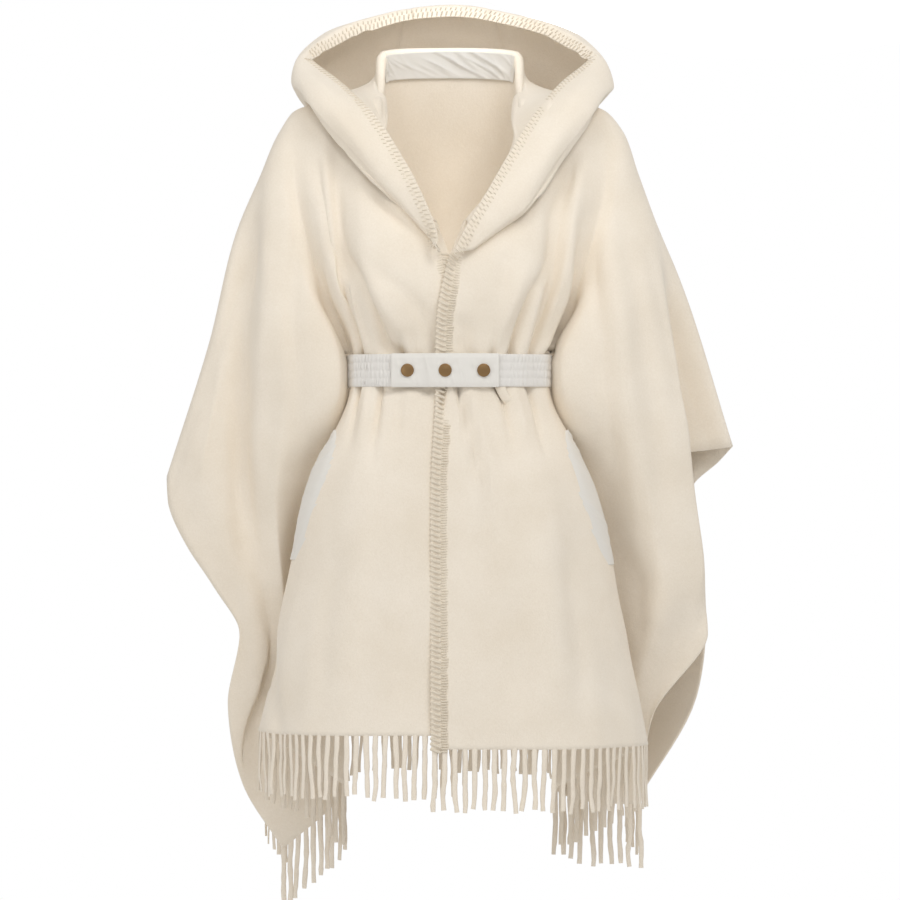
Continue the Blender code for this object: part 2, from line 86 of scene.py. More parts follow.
# The waist level of a fold stands for two, at the upper and the lower edge of the belt's band.
WAIST = 3
WAIST_HEIGHT = -338
WAIST_BAND = 20
LAP = (6.5, 4.5, 2.2, 0.6)  # how far the left front lies in front of the right one, fold by fold
LENGTHENED = {-1: 1.009, 1: 1.047}  # how much longer each front is below the belt
HOOD_LIFT = 6.0  # from the neck's edge out to the edge of the hood that is sewn over it
SHOULDER_GAP = 1.6  # between the edges of the front and the back over the shoulder
BELT_MIDDLE = -339.5
BELT_CLEAR = 0.8  # from the fronts out to the belt
TAB_CLEAR = 0.5  # from the belt out to its tab
TAB_THICK = 2.2
TAB_ENDS = (-72, 60)
SNAP_PLACES = (-52, -6, 41)
SLIT = (114, 140)  # how far out from the middle the slit for the belt begins and ends
SLIT_DEPTHS = (-64, -34)
SLIT_HALF = 21  # half the height of the slit
NECK_FACING = (1.12, 0.2)  # its reach each way in folds of the back, and down in levels
LAPEL_FLUSH = {-1: 0.7, 1: 0.55}  # how far the hood's roll lies flush, in its folds
BOUND_FROM = 1.0  # the level of a front below which its edge is bound
RIM_ROLL = (20.0, 9.0, 1.3)  # the hood's rim: how much of it curls, over what length, and how far

# One row for each fold line of a front, from the front edge out to the pleat beside the belt.
# A cell is the distance out from the middle, the depth (less is nearer the front) and the height.
BODY_FOLDS = (
    ("front edge", (18, -112, -158), (2, -118, -194), (-12.5, -124, -255), (-16.5, -117, -338),
     (-21.8, -141, -470), (-21.6, -160, -625), (-21.3, -168, -705), (-21, -174, -781)),
    ("breast", (48, -98, -122), (42, -116, -170), (38, -128, -240), (38, -117, -338),
     (48, -145, -470), (60, -163, -625), (66, -171, -705), (72, -177, -781)),
    ("bust", (75.5, -74.5, -72), (80, -103, -135), (75, -130, -238), (66, -112, -338),
     (86, -146, -470), (108, -165, -625), (119, -173, -705), (129, -180, -781)),
    ("neck side", (88, 8, 4), (108, -92, -118), (103, -119, -236), (88, -103, -338),
     (117, -137, -470), (145, -150, -625), (158, -156, -705), (171, -162, -781)),
    ("shoulder valley", (126, 5, 1), (140, -72, -110), (124, -94, -228), (104, -91, -338),
     (139, -118, -470), (170, -124, -625), (184, -128, -705), (199, -134, -781)),
    ("shoulder ridge", (152, 3, -3), (156, -73, -110), (139, -97, -232), (116, -82, -338),
     (157, -100, -470), (190, -102, -625), (206, -104, -705), (221, -106, -781)),
    ("pleat edge", (176, 2, -8), (175, -60, -112), (151, -80, -234), (119.5, -69, -338),
     (170, -74, -470), (205, -70, -625), (220, -68, -705), (234, -66, -781)),
    ("pleat inside", (194, 1, -15), (189, -50, -124), (158, -62, -236), (124, -49, -338),
     (128, -34, -470), (129, -26, -640), (129, -22, -740), (130, -18, -860)),
)

# The wing of the wearer's right front, from the pleat out to the side edge.
RIGHT_WING = (
    ("wing inner", (212, 0, -40), (204, -57, -140), (174, -76, -237), (137, -84, -340),
     (176, -36, -470), (196, -6, -640), (190, 2, -745), (150, -4, -885)),
    ("wing face", (236, -2, -95), (232, -50, -172), (212, -76, -262), (202, -84, -356),
     (216, -58, -487), (206, -28, -650), (212, 0, -760), (170, 2, -903)),
    ("wing valley", (262, -4, -155), (250, -26, -215), (254, -38, -290), (257, -42, -375),
     (246, -35, -510), (222, -24, -665), (244, 4, -775), (187, 5, -917)),
    ("wing outer", (300, -8, -305), (299, -36, -350), (300, -50, -405), (300, -50, -465),
     (262, -40, -585), (230, -22, -700), (258, 2, -800), (199, 6, -927)),
    ("side edge", (352, -14, -470), (350, -30, -505), (326, -38, -558), (297, -36, -602),
     (264, -26, -655), (277, -6, -755), (257, 4, -860), (209, 6, -935)),
)

# The wing of the wearer's left front, with a deep fold that hangs in front of its tip.
LEFT_WING = (
    ("wing inner", (214, 0, -38), (202, -58, -142), (178, -79, -237), (139, -91, -338),
     (190, -50, -470), (214, -30, -630), (205, -22, -730), (155, -12, -872)),
    ("wing face", (234, -2, -92), (229, -58, -175), (222, -88, -250), (222, -100, -352),
     (243, -92, -475), (262, -66, -610), (238, -34, -715), (178, -8, -876)),
    ("wing fold", (255, -5, -150), (264, -46, -222), (277, -66, -300), (291, -76, -390),
     (302, -74, -490), (311, -62, -600), (252, -30, -725), (200, -6, -878)),
    ("behind fold", (285, -6, -222), (268, -20, -268), (268, -26, -320), (275, -34, -400),
     (290, -40, -495), (316, -50, -630), (256, -26, -745), (220, -4, -879)),
    ("side edge", (352, -12, -433), (322, -14, -437), (290, -18, -442), (283, -26, -470),
     (292, -36, -560), (319, -44, -672), (254, -24, -765), (238, -4, -880)),
)

# Half of the back, from the middle out to the shoulder, and then each of its wings.
BACK_FOLDS = (
    ("back middle", (0, 80, 66), (0, 96, -100), (0, 104, -225), (0, 105, -340),
     (0, 115, -480), (0, 126, -620), (0, 130, -700), (0, 133, -770)),
    ("back fold", (84, 66, 60), (70, 104, -100), (70, 122, -225), (74, 126, -340),
     (82, 144, -480), (92, 162, -622), (98, 170, -703), (103, 176, -773)),
    ("neck side", (88, 11, 4), (125, 74, -100), (134, 82, -225), (138, 80, -345),
     (144, 88, -480), (150, 95, -628), (153, 97, -712), (156, 98, -786)),
    ("shoulder", (152, 4, -3), (176, 60, -100), (182, 84, -225), (188, 92, -345),
     (194, 104, -482), (198, 112, -640), (200, 112, -730), (201, 110, -808)),
    ("shoulder edge", (194, 1, -15), (198, 50, -108), (205, 69, -226), (212, 76, -345),
     (218, 83, -482), (221, 86, -643), (221, 86, -738), (219, 84, -822)),
)
RIGHT_BACK_WING = (
    ("wing inner", (212, 0, -40), (213, 42, -118), (222, 62, -228), (230, 68, -345),
     (236, 74, -482), (238, 74, -645), (236, 74, -745), (228, 72, -838)),
    ("wing face", (236, -2, -95), (240, 32, -165), (250, 46, -250), (258, 50, -360),
     (262, 54, -490), (256, 56, -655), (246, 62, -755), (229, 64, -850)),
    ("wing valley", (262, -4, -155), (268, 22, -215), (278, 32, -290), (284, 36, -385),
     (282, 42, -505), (262, 46, -665), (250, 52, -770), (223, 58, -862)),
    ("wing outer", (300, -8, -305), (306, 12, -350), (310, 22, -410), (306, 28, -475),
     (284, 34, -565), (247, 40, -690), (246, 46, -800), (213, 56, -872)),
    ("side edge", (352, -14, -470), (346, 6, -510), (316, 20, -556), (271, 28, -600),
     (240, 32, -655), (244, 40, -745), (234, 48, -835), (207, 58, -880)),
)
LEFT_BACK_WING = (
    ("wing inner", (214, 0, -38), (214, 42, -118), (222, 62, -228), (230, 68, -345),
     (236, 74, -482), (238, 74, -645), (236, 70, -745), (224, 66, -845)),
    ("wing face", (234, -2, -92), (238, 32, -162), (250, 46, -248), (260, 52, -360),
     (266, 54, -490), (268, 52, -650), (258, 50, -755), (228, 54, -858)),
    ("wing fold", (255, -5, -150), (262, 22, -207), (274, 34, -285), (284, 38, -385),
     (288, 38, -505), (288, 36, -655), (274, 38, -765), (232, 44, -864)),
    ("behind fold", (285, -6, -222), (290, 14, -264), (292, 24, -325), (293, 26, -400),
     (296, 24, -500), (302, 20, -650), (290, 26, -760), (235, 36, -868)),
    ("side edge", (352, -12, -433), (336, 2, -451), (305, 8, -480), (302, 8, -520),
     (308, 6, -572), (319, 2, -642), (308, 9, -746), (238, 28, -872)),
)

# Half of the hood as it lies, from the front corner of the neck to the seam of its centre strip.
# After its name a row has its place on the neck seam, counted in folds of the front or of the back.
# Then come a point under the roll, its lowest fold, its side, its top and the rim.
STRIP_SEAM = ("strip seam", -1, (66, 112, -12), (70, 122, -106), (84, 156, -50), (56, 136, 119),
              (46, 92, 122))
RIGHT_HOOD = (
    ("front corner", 0, (17, -119, -168), (21, -121, -178), (20, -125, -182),
     (13, -127, -187), (3, -127, -191)),
    ("lapel", 1, (60, -108, -122), (78, -110, -125), (77, -118, -121),
     (62, -123, -112), (45, -117, -105)),
    ("collar", 2, (104, -92, -64), (137, -78, -60), (138, -86, -50),
     (118, -92, -36), (93, -80, -25)),
    ("neck front", 2.5, (124, -66, -2), (166, -54, -22), (170, -62, -12),
     (150, -62, 6), (120, -44, 4)),
    ("neck side", 3, (132, 8, 10), (186, 2, 4), (196, 0, 18),
     (192, 10, 44), (174, 24, 61)),
    ("neck back", -1.5, (115, 80, 15), (152, 76, -38), (176, 92, -8),
     (156, 92, 91), (115, 66, 104)),
    STRIP_SEAM,
)
LEFT_HOOD = (
    ("front corner", 0, (20, -128, -172), (30, -131, -187), (29, -135, -191),
     (18, -137, -193), (4, -135, -192)),
    ("lapel", 1, (66, -116, -128), (92, -119, -146), (92, -128, -142),
     (72, -133, -134), (45, -124, -123)),
    ("collar", 2, (104, -94, -70), (138, -86, -82), (139, -94, -74),
     (118, -102, -58), (90, -88, -44)),
    ("neck front", 2.5, (123, -67, -9), (174, -54, -30), (178, -63, -18),
     (154, -66, 0), (121, -48, 0)),
    ("neck side", 3, (132, 8, 10), (190, 2, 0), (204, 0, 14),
     (196, 10, 42), (174, 24, 61)),
    ("neck back", -1.5, (115, 80, 15), (152, 76, -38), (176, 92, -8),
     (156, 92, 91), (120, 66, 102)),
    STRIP_SEAM,
)
HOOD_MIDDLE = ("crown", 0, (0, 110, -20), (0, 129, -118), (0, 172, -50),
               (0, 146, 123), (0, 98, 127))

# The belt's way through the inside, from the slit in the valley to the middle of the back.
BELT_INSIDE = ((125.5, -60), (125.5, -46), (128, -20), (131, 12), (121, 45), (94, 72), (50, 88), (0, 91))

# Line of the small wool loop under the belt: place across and up, and how far it stands out.
KEEPER_LINE = ((59, -345, 2.0), (60, -352, 3.2), (62.5, -362, 5.0), (67, -371, 4.6), (71, -377, 1.8),
               (73, -380, -1.5))

# Nylon facing of a pocket mouth: place down the front, then its two edges counted in folds.
POCKET_FACING = ((4.5, 5.5, 6.0), (4.62, 4.95, 6.0), (4.8, 4.62, 6.02), (5.11, 4.62, 6.03),
                 (5.31, 4.85, 6.02), (5.5, 5.0, 6.0), (5.66, 5.4, 5.98))

# The hood's seam allowance, turned over the neck's edge: how far below that edge, and how far out.
ALLOWANCE = ((10.0, -2.3), (4.5, -2.5), (-1.2, -2.2), (-3.8, 0.2), (-3.7, 3.5), (-1.4, 5.8))

# Creases as they show from the front: depth (less than nothing is a trough), half width, and a line
# of places across and up, on the panel that faces forward there. A depth or half width that is a
# row of numbers changes along the line, as where a pleat runs under the belt.
RIGHT_CREASES = (
    ("under arm", (0, -5, -7, -7.5, -8, -9, -12, -13), (12, 10, 9, 8, 8, 7, 6, 5),
     ((-169, -59), (-163, -95), (-155, -132), (-145, -194), (-134, -221), (-126, -265), (-116, -302),
      (-111, -322))),
    ("beside under arm", (0, 4.5, 5, 5.5, 5, 5, 4), (10, 9, 8, 7, 7, 6, 5),
     ((-156, -80), (-149, -140), (-139, -200), (-126, -232), (-116, -262), (-106, -296), (-98, -322))),
    ("outer arm", (0, -4, -6, -9), (10, 9, 7, 5), ((-162, -190), (-150, -262), (-138, -290), (-122, -322))),
    ("chest", (0, -3, -6, -8.5, -10.5, -11, -11), (10, 9, 9, 10, 11, 10, 7),
     ((-145, -52), (-142, -116), (-134, -194), (-111, -236), (-92, -282), (-78, -306), (-62, -320))),
    ("beside chest", (0, 4, 5.5, 4.5, 2), (13, 13, 13, 11, 8),
     ((-112, -205), (-99, -229), (-80, -262), (-52, -304), (-36, -322))),
    ("breast", (0, -4.4, -5, -4.6, -3), (12, 14, 13, 11, 8),
     ((-100, -196), (-98, -212), (-63, -238), (-34, -278), (-20, -312))),
    ("breast to belt", (0, -3.2, -5), (8, 7, 5), ((-60, -284), (-46, -302), (-38, -322))),
    ("lapel end", -3.6, 9, ((-96, -118), (-70, -142), (-46, -168))),
    ("belt gather 1", (-8, -5, -3, 0), (4, 4.5, 6, 8), ((-112, -356), (-115, -376), (-119, -402),
    (-125, -440))),
    ("belt gather 2", (4, 3, 0), (6, 6, 8), ((-101, -356), (-105, -392), (-112, -440))),
    ("belt gather 3", (-9, -6, -3.5, 0), (4, 5, 6, 8), ((-86, -356), (-87, -378), (-91, -412),
    (-96, -470))),
    ("belt swag", (-5, -6, -6, -5), (5, 6, 6, 5), ((-80, -366), (-60, -361), (-40, -361), (-22, -367))),
    ("belt gather 5", -3.0, 6, ((-60, -366), (-62, -396), (-66, -430))),
    ("over belt 1", (-5, -3, 0), (4, 5, 7), ((-58, -320), (-60, -304), (-66, -284))),
    ("skirt side", -4.5, 19, ((-128, -520), (-146, -600), (-156, -680), (-158, -770))),
    ("skirt middle", 3.0, 24, ((-96, -500), (-104, -600), (-108, -700), (-110, -776))),
    ("skirt front", -2.6, 20, ((-58, -560), (-62, -660), (-64, -776))),
    ("wing long", -6.0, 14, ((-238, -118), (-243, -170), (-252, -250), (-258, -350), (-261, -450),
    (-258, -620))),
    ("wing beside", 4.4, 14, ((-222, -120), (-226, -200), (-232, -300), (-236, -420), (-234, -560))),
    ("wing inner", -4.4, 12, ((-186, -120), (-192, -190), (-196, -270), (-190, -360), (-196, -460))),
    ("wing outer", -3.2, 16, ((-292, -330), (-300, -400), (-298, -470))),
    ("lap", (0, -5, -8, -9, -9), (12, 12, 11, 10, 9),
     ((10, -256), (8, -276), (11, -292), (13, -306), (14, -322))),
    ("lap below", (-9, -8, -6, -4, 0), (7, 8, 9, 10, 10),
     ((12, -356), (14, -376), (17, -396), (20, -430), (20, -480))),
    ("wing low", -3.8, 14, ((-226, -620), (-222, -700), (-212, -790), (-196, -860))),
    ("wing low ridge", 3.4, 13, ((-244, -640), (-240, -720), (-226, -800), (-208, -880))),
)
LEFT_CREASES = (
    ("under hood", -6.0, 10, ((163, -62), (150, -96), (136, -128), (124, -160))),
    ("under arm", (0, -5, -7, -9, -12, -13), (10, 9, 8, 7, 6, 5),
     ((162, -150), (160, -196), (150, -246), (137, -288), (126, -306), (118, -322))),
    ("beside under arm", (0, 4, 5.5, 5, 4), (10, 8, 7, 6, 5),
     ((150, -150), (146, -206), (136, -258), (124, -290), (111, -322))),
    ("chest", (0, -3, -5, -8.5, -11, -13), (12, 10, 8, 7, 6, 5.5),
     ((126, -117), (122, -179), (118, -212), (104, -240), (87, -280), (75, -322))),
    ("beside chest", (0, 4, 5, 3), (12, 9, 7, 6), ((104, -196), (92, -226), (74, -262), (58, -306))),
    ("between", (0, 3.6, 4, 4), (7, 6, 5, 5), ((118, -216), (107, -249), (98, -284), (89, -322))),
    ("chest to belt", (0, -5, -7, -10), (7, 6, 5, 4.5), ((131, -206), (122, -249), (111, -282),
    (99, -322))),
    ("at the edge", (0, -5, -7, -6), (9, 9, 8, 6), ((10, -268), (16, -292), (19, -306), (26, -322))),
    ("breast", -4.0, 11, ((71, -190), (68, -222), (63, -260))),
    ("belt gather 1", (-9, -7.5, -6, -4, -2.5, 0), (4, 4, 5, 6, 8, 10),
     ((9, -356), (17, -396), (30, -440), (38, -480), (46, -548), (52, -640))),
    ("belt gather 2", (3, 4, 3, 0), (7, 8, 9, 12), ((26, -358), (34, -394), (48, -446), (60, -520))),
    ("belt gather 3", (-9, -6, -3, 0), (5, 5, 6, 8), ((56, -356), (64, -376), (72, -402), (80, -450))),
    ("belt gather 4", (3, 3, 0), (6, 6, 8), ((76, -358), (86, -388), (96, -440))),
    ("belt gather 5", (-8, -5, -3, 0), (5, 5, 6, 9), ((96, -356), (103, -380), (112, -416), (122, -460))),
    ("belt gather 6", (-6, -4, 0), (4, 5, 6), ((-6, -356), (-8, -376), (-10, -402))),
    ("over belt 1", (-5, -3, 0), (4, 5, 7), ((52, -320), (54, -302), (58, -284))),
    ("skirt side", -4.8, 18, ((140, -540), (152, -620), (160, -700), (164, -776))),
    ("skirt middle", 3.0, 24, ((108, -480), (118, -580), (124, -680), (128, -776))),
    ("skirt front", -2.8, 22, ((76, -600), (82, -690), (86, -776))),
    ("wing inner", -6.0, 12, ((168, -150), (178, -230), (184, -308), (196, -396), (204, -480))),
    ("wing ridge", 4.4, 14, ((194, -160), (206, -250), (214, -350), (226, -460), (236, -560))),
    ("wing long", -4.4, 16, ((212, -130), (226, -210), (240, -300), (254, -400), (262, -500), (268, -590))),
    ("wing fold", -3.0, 12, ((244, -190), (262, -270), (278, -350), (288, -430))),
    ("wing low", -3.6, 16, ((222, -560), (232, -620), (236, -690))),
    ("wing low ridge", 3.2, 16, ((256, -560), (268, -610), (258, -670))),
)

# Creases of the back and the hood: the same, but a place is counted in folds and in levels.
BACK_CREASES = (
    ("middle", -4.0, 20, ((8.8, 1.2), (8.9, 2.4), (8.8, 4.0), (8.9, 5.6), (8.8, 7.0))),
    ("right of middle", 4.2, 20, ((7.9, 1.0), (7.8, 2.4), (7.8, 4.2), (7.7, 7.0))),
    ("left of middle", 4.0, 22, ((9.9, 0.9), (10.1, 2.6), (10.1, 4.4), (10.2, 7.0))),
    ("right blade", -5.0, 15, ((7.1, 0.6), (6.9, 1.6), (6.9, 3.2), (6.7, 5.0), (6.6, 7.0))),
    ("left blade", -4.6, 16, ((11.0, 0.7), (11.2, 2.0), (11.2, 3.8), (11.4, 5.6), (11.4, 7.0))),
    ("right side", -4.4, 13, ((5.6, 0.5), (5.4, 1.8), (5.3, 3.2), (5.3, 4.8))),
    ("left side", -5.0, 14, ((12.6, 0.5), (12.8, 1.6), (12.9, 3.0), (12.9, 4.6), (12.8, 6.2))),
    ("right wing", -3.6, 14, ((3.2, 0.4), (2.9, 1.8), (2.8, 3.4), (2.9, 5.4))),
    ("right wing ridge", 3.4, 14, ((3.9, 0.6), (3.7, 2.2), (3.7, 4.6), (3.8, 6.6))),
    ("left wing", -3.8, 14, ((14.9, 0.6), (15.2, 2.0), (15.2, 3.6), (15.0, 5.8))),
    ("left wing ridge", 3.0, 15, ((14.2, 0.8), (14.3, 2.6), (14.4, 4.8), (14.3, 6.8))),
    ("right tip", -2.6, 14, ((1.2, 1.6), (1.1, 3.2), (1.3, 5.2))),
    ("left tip", -2.6, 14, ((16.8, 1.8), (16.8, 3.6), (16.7, 5.6))),
)
HOOD_CREASES = (
    ("right lapel", -2.4, 8, ((0.4, 2.9), (1.4, 2.7), (2.6, 2.8))),
    ("right roll", 2.2, 9, ((1.2, 3.6), (2.4, 3.6), (3.6, 3.4))),
    ("right shoulder", -4.0, 10, ((2.9, 2.2), (3.6, 2.6), (4.4, 2.7))),
    ("right side", -3.4, 12, ((4.3, 1.6), (4.9, 2.3), (5.4, 3.3))),
    ("right behind", 3.2, 12, ((5.2, 1.6), (5.6, 2.4), (5.8, 3.4))),
    ("back", -3.6, 16, ((6.7, 1.2), (6.9, 2.2), (6.8, 3.0))),
    ("back ridge", 3.0, 15, ((7.5, 1.0), (7.6, 2.2), (7.5, 3.2))),
    ("left behind", -3.4, 12, ((8.7, 1.5), (8.6, 2.5), (8.2, 3.4))),
    ("left side", 3.0, 12, ((9.3, 1.6), (9.0, 2.4), (8.7, 3.4))),
    ("left shoulder", -4.0, 10, ((11.2, 2.2), (10.5, 2.6), (9.7, 2.6))),
    ("left roll", 2.4, 9, ((12.8, 3.6), (11.7, 3.6), (10.6, 3.4))),
    ("left lapel", -2.8, 8, ((13.6, 2.8), (12.6, 2.7), (11.4, 2.8))),
)

# Stitches over an edge. Each leg has its thickness as a share of the yarn's, then where it starts,
# bows and ends: along the edge, in from it and up from the cloth.
FRONT_STITCH = (
    (0.85, (0.0, 19.2, -0.3), (0.1, 15.0, 1.2), (0.0, 11.0, -0.2)),
    (0.85, (3.2, 19.0, -0.3), (3.3, 15.0, 1.2), (3.2, 11.0, -0.2)),
    (1.5, (4.4, 10.4, -0.4), (2.8, 5.2, 2.6), (0.0, -1.4, -1.6)),
)
RIM_STITCH = (
    (0.62, (1.6, 12.0, -0.3), (0.9, 10.0, 1.0), (0.0, 8.0, -0.2)),
    (0.8, (2.6, 6.8, -0.3), (1.4, 3.6, 1.5), (0.0, -0.6, -1.4)),
)


def smooth_line(points, stations, start=None):
    """The points at some stations of a smooth curve through a table's points, counted in those."""
    points = np.asarray(points, float)
    legs = np.diff(points, axis=0)
    lengths = np.maximum(np.linalg.norm(legs, axis=1), 1e-6)[:, None]
    slopes = legs / lengths
    tangents = np.empty_like(points)
    turning = (1 + (slopes[:-1] * slopes[1:]).sum(axis=1, keepdims=True)) / 2
    mixed = (slopes[:-1] * lengths[1:] + slopes[1:] * lengths[:-1]) / (lengths[:-1] + lengths[1:])
    tangents[1:-1] = mixed * turning**2
    tangents[0] = slopes[0] if start is None else start
    tangents[-1] = slopes[-1]
    i = np.clip(stations.astype(int), 0, len(legs) - 1)
    t = (stations - i)[:, None]
    return (
        (2 * t**3 - 3 * t**2 + 1) * points[i]
        + (t**3 - 2 * t**2 + t) * tangents[i] * lengths[i]
        + (3 * t**2 - 2 * t**3) * points[i + 1]
        + (t**3 - t**2) * tangents[i + 1] * lengths[i]
    )


def along(steps):
    """How far along a line each of its points is, from the steps between them."""
    return np.concatenate(([0], np.cumsum(steps)))


def unit(vectors):
    vectors = np.asarray(vectors, float)
    return vectors / np.maximum(np.linalg.norm(vectors, axis=-1, keepdims=True), 1e-9)


def rise(values, low, high):
    """A soft step from 0 at low to 1 at high."""
    t = np.clip((values - low) / (high - low), 0, 1)
    return t * t * (3 - 2 * t)


def stations(intervals, steps, fine_start=0, fine_end=0):
    """Places along a line counted in intervals, closer together near an end that needs detail."""
    places = [np.linspace(i, i + 1, steps, endpoint=False) for i in range(intervals)]
    if fine_start:
        near = np.linspace(0, 0.5, fine_start, endpoint=False)
        places[0] = np.concatenate((near, np.linspace(0.5, 1, 5)[:-1]))
    if fine_end:
        near = np.linspace(0.5, 1, fine_end)
        places[-1] = intervals - 1 + np.concatenate((np.linspace(0, 0.5, 5)[:-1], near))
    else:
        places.append([intervals])
    return np.concatenate(places)


class Sheet:
    """A piece of cloth as a grid of points, in millimetres: first along its width, then down."""

    def __init__(self, folds, across, down, starts=None, held=("top",)):
        starts = starts or [None] * len(folds)
        self.held = held
        lines = np.array([smooth_line(fold, down, start) for fold, start in zip(folds, starts)])
        rows = [smooth_line(lines[:, level], across) for level in range(lines.shape[1])]
        self.across = across
        self.down = down
        self.points = np.array(rows).transpose(1, 0, 2)
        self.sign = 1.0
        self.sign = np.sign((self.slopes() * self.points * (1, 1, 0)).sum())
        self.normals = self.slopes()

    def slopes(self):
        crossed = np.cross(np.gradient(self.points, axis=0), np.gradient(self.points, axis=1))
        return unit(crossed) * self.sign

    def at(self, fold, level, lift=0.0):
        """The point at a place counted in folds and levels, moved out by that much."""
        i = np.interp(fold, self.across, np.arange(len(self.across)))
        j = np.interp(level, self.down, np.arange(len(self.down)))
        i0, j0 = min(int(i), len(self.across) - 2), min(int(j), len(self.down) - 2)
        a, b = i - i0, j - j0
        lifted = self.points[i0 : i0 + 2, j0 : j0 + 2] + self.normals[i0 : i0 + 2, j0 : j0 + 2] * lift
        return (lifted[0] * (1 - a) + lifted[1] * a).T @ (1 - b, b)

    def in_front(self, x, z):
        """The point of the sheet that shows at that place from the front."""
        far = np.hypot(self.points[..., 0] - x, self.points[..., 2] - z)
        far = far + 60 * (self.normals[..., 1] > -0.15) + 0.1 * (self.points[..., 1] + 200)
        return self.points[np.unravel_index(np.argmin(far), far.shape)]

    def loose(self, reach=35.0):
        """How free each point is to move: not at all at an edge that is sewn or meets another one."""
        across = np.linalg.norm(np.diff(self.points, axis=0), axis=2)
        down = np.linalg.norm(np.diff(self.points, axis=1), axis=2)
        from_start = np.pad(np.cumsum(across, axis=0), ((1, 0), (0, 0)))
        from_top = np.pad(np.cumsum(down, axis=1), ((0, 0), (1, 0)))
        far = {"start": from_start, "end": from_start[-1] - from_start, "top": from_top}
        share = np.ones(from_top.shape)
        for edge in self.held:
            share = share * rise(far[edge], 0, reach)
        return share

    def push(self, moved):
        """Moves each point out by that much, less where the cloth is held."""
        self.points = self.points + self.normals * (moved * self.loose())[..., None]
        self.normals = self.slopes()

    def press(self, creases, spot, scale):
        """Soft troughs and ridges along given lines, fading out at their ends."""
        moved = np.zeros(self.points.shape[:2])
        for name, depth, width, places in creases:
            line = smooth_line([spot(*place) for place in places], stations(len(places) - 1, 4))
            legs = np.diff(line, axis=0)
            reach = np.linalg.norm(legs, axis=1)
            before = along(reach)
            nearest = np.full(moved.shape, 1e9)
            gone = np.zeros(moved.shape)
            for i, leg in enumerate(legs):
                off = self.points - line[i]
                share = np.clip((off @ leg) / max(reach[i] ** 2, 1e-6), 0, 1)
                far = np.linalg.norm(off - share[..., None] * leg, axis=-1)
                closer = far < nearest
                nearest = np.where(closer, far, nearest)
                gone = np.where(closer, (before[i] + share * reach[i]) / before[-1], gone)
            if isinstance(depth, tuple):
                spread = np.linspace(0, 1, len(depth))
                deep = np.interp(gone, spread, depth)
                wide = np.interp(gone, spread, width)
            else:
                deep = depth * (0.25 + 0.75 * np.minimum(rise(gone, 0, 0.3), rise(gone, 1, 0.7)))
                wide = width
            moved += deep * np.exp(-((nearest / wide) ** 2))
        height, out = self.points[..., 2], np.abs(self.points[..., 0])
        free = np.maximum(rise(np.abs(height - BELT_MIDDLE), 17, 34), rise(out, 128, 140))
        moved = np.where(moved > 0, moved * free, moved)
        self.push(moved * scale)

    def wave(self, height, seed):
        """Slow unevenness, as thick cloth has that isn't pulled tight."""
        rng = np.random.default_rng(seed)
        moved = np.zeros(self.points.shape[:2])
        for _ in range(9):
            way = unit(rng.normal(size=3) * (1, 0.6, 0.55))
            length = rng.uniform(70, 170)
            moved += np.sin(self.points @ way * (2 * math.pi / length) + rng.uniform(0, 6.3)) * length / 120
        self.push(moved * height / 3)

    def roll(self, share, reach, bend, turn):
        """Curls the last stretch of each line over towards the inside, by its own share."""
        for line, normals, part in zip(self.points, self.normals, share):
            steps = np.linalg.norm(np.diff(line, axis=0), axis=1)
            left = np.append(np.cumsum(steps[::-1])[::-1], 0)
            first = int(np.argmax(left < reach))
            ahead = unit(line[first] - line[first - 1])
            inward = unit(ahead * (normals[first] @ ahead) - normals[first])
            spot = line[first].copy()
            for k in range(first, len(steps)):
                gone = left[first] - (left[k] + left[k + 1]) / 2
                angle = turn * part * min(gone / bend, 1.0)
                spot = spot + steps[k] * (ahead * math.cos(angle) + inward * math.sin(angle))
                line[k + 1] = spot
        self.normals = self.slopes()


def sided(points, side):
    """The points of a half table on one side of the garment, +1 for the wearer's left."""
    return np.array(points, float) * (side, 1, 1)


def banded(fold, belted):
    """A fold line whose waist point is made two, upright where the belt holds the cloth."""
    before, point, after = np.array(fold[WAIST - 1 : WAIST + 2], float)
    if belted:
        pair = point + (0, 0, WAIST_BAND), point - (0, 0, WAIST_BAND)
    else:
        pair = point + (before - point) * 0.18, point + (after - point) * 0.18
    return [*fold[:WAIST], *pair, *fold[WAIST + 1 :]]


def front_sheet(wing, side):
    folds = []
    starts = []
    for i, (name, *fold) in enumerate(BODY_FOLDS + wing):
        points = sided(banded(fold, i <= len(BODY_FOLDS)), side)
        if i < len(BODY_FOLDS) - 1:
            share = np.maximum(0, WAIST_HEIGHT - WAIST_BAND - points[:, 2:]) / 430
            points[:, ::2] *= 1 + (LENGTHENED[side] - 1) * share * (1, 0.57)
        if side > 0 and i < len(LAP):
            points[:, 1] -= LAP[i]
        folds.append(points)
        starts.append((0, -1, 0) if i > 2 else None)
    across = stations(len(folds) - 1, 12, fine_start=14)
    down = stations(len(folds[0]) - 1, 15, fine_end=9)
    return Sheet(folds, across, down, starts, ("top", "end"))


def back_sheet():
    right = [sided(fold, -1) for name, *fold in BACK_FOLDS + RIGHT_BACK_WING]
    left = [sided(fold, 1) for name, *fold in BACK_FOLDS + LEFT_BACK_WING]
    folds = right[:0:-1] + left
    middle = len(right) - 1
    starts = []
    for i, fold in enumerate(folds):
        over_shoulder = abs(i - middle) > 1
        starts.append((0, 1, 0) if over_shoulder else None)
        if over_shoulder:
            fold[0, 1] += SHOULDER_GAP
    down = stations(len(folds[0]) - 1, 14, fine_end=9)
    return Sheet(folds, stations(len(folds) - 1, 8), down, starts, ("top", "start", "end")), middle


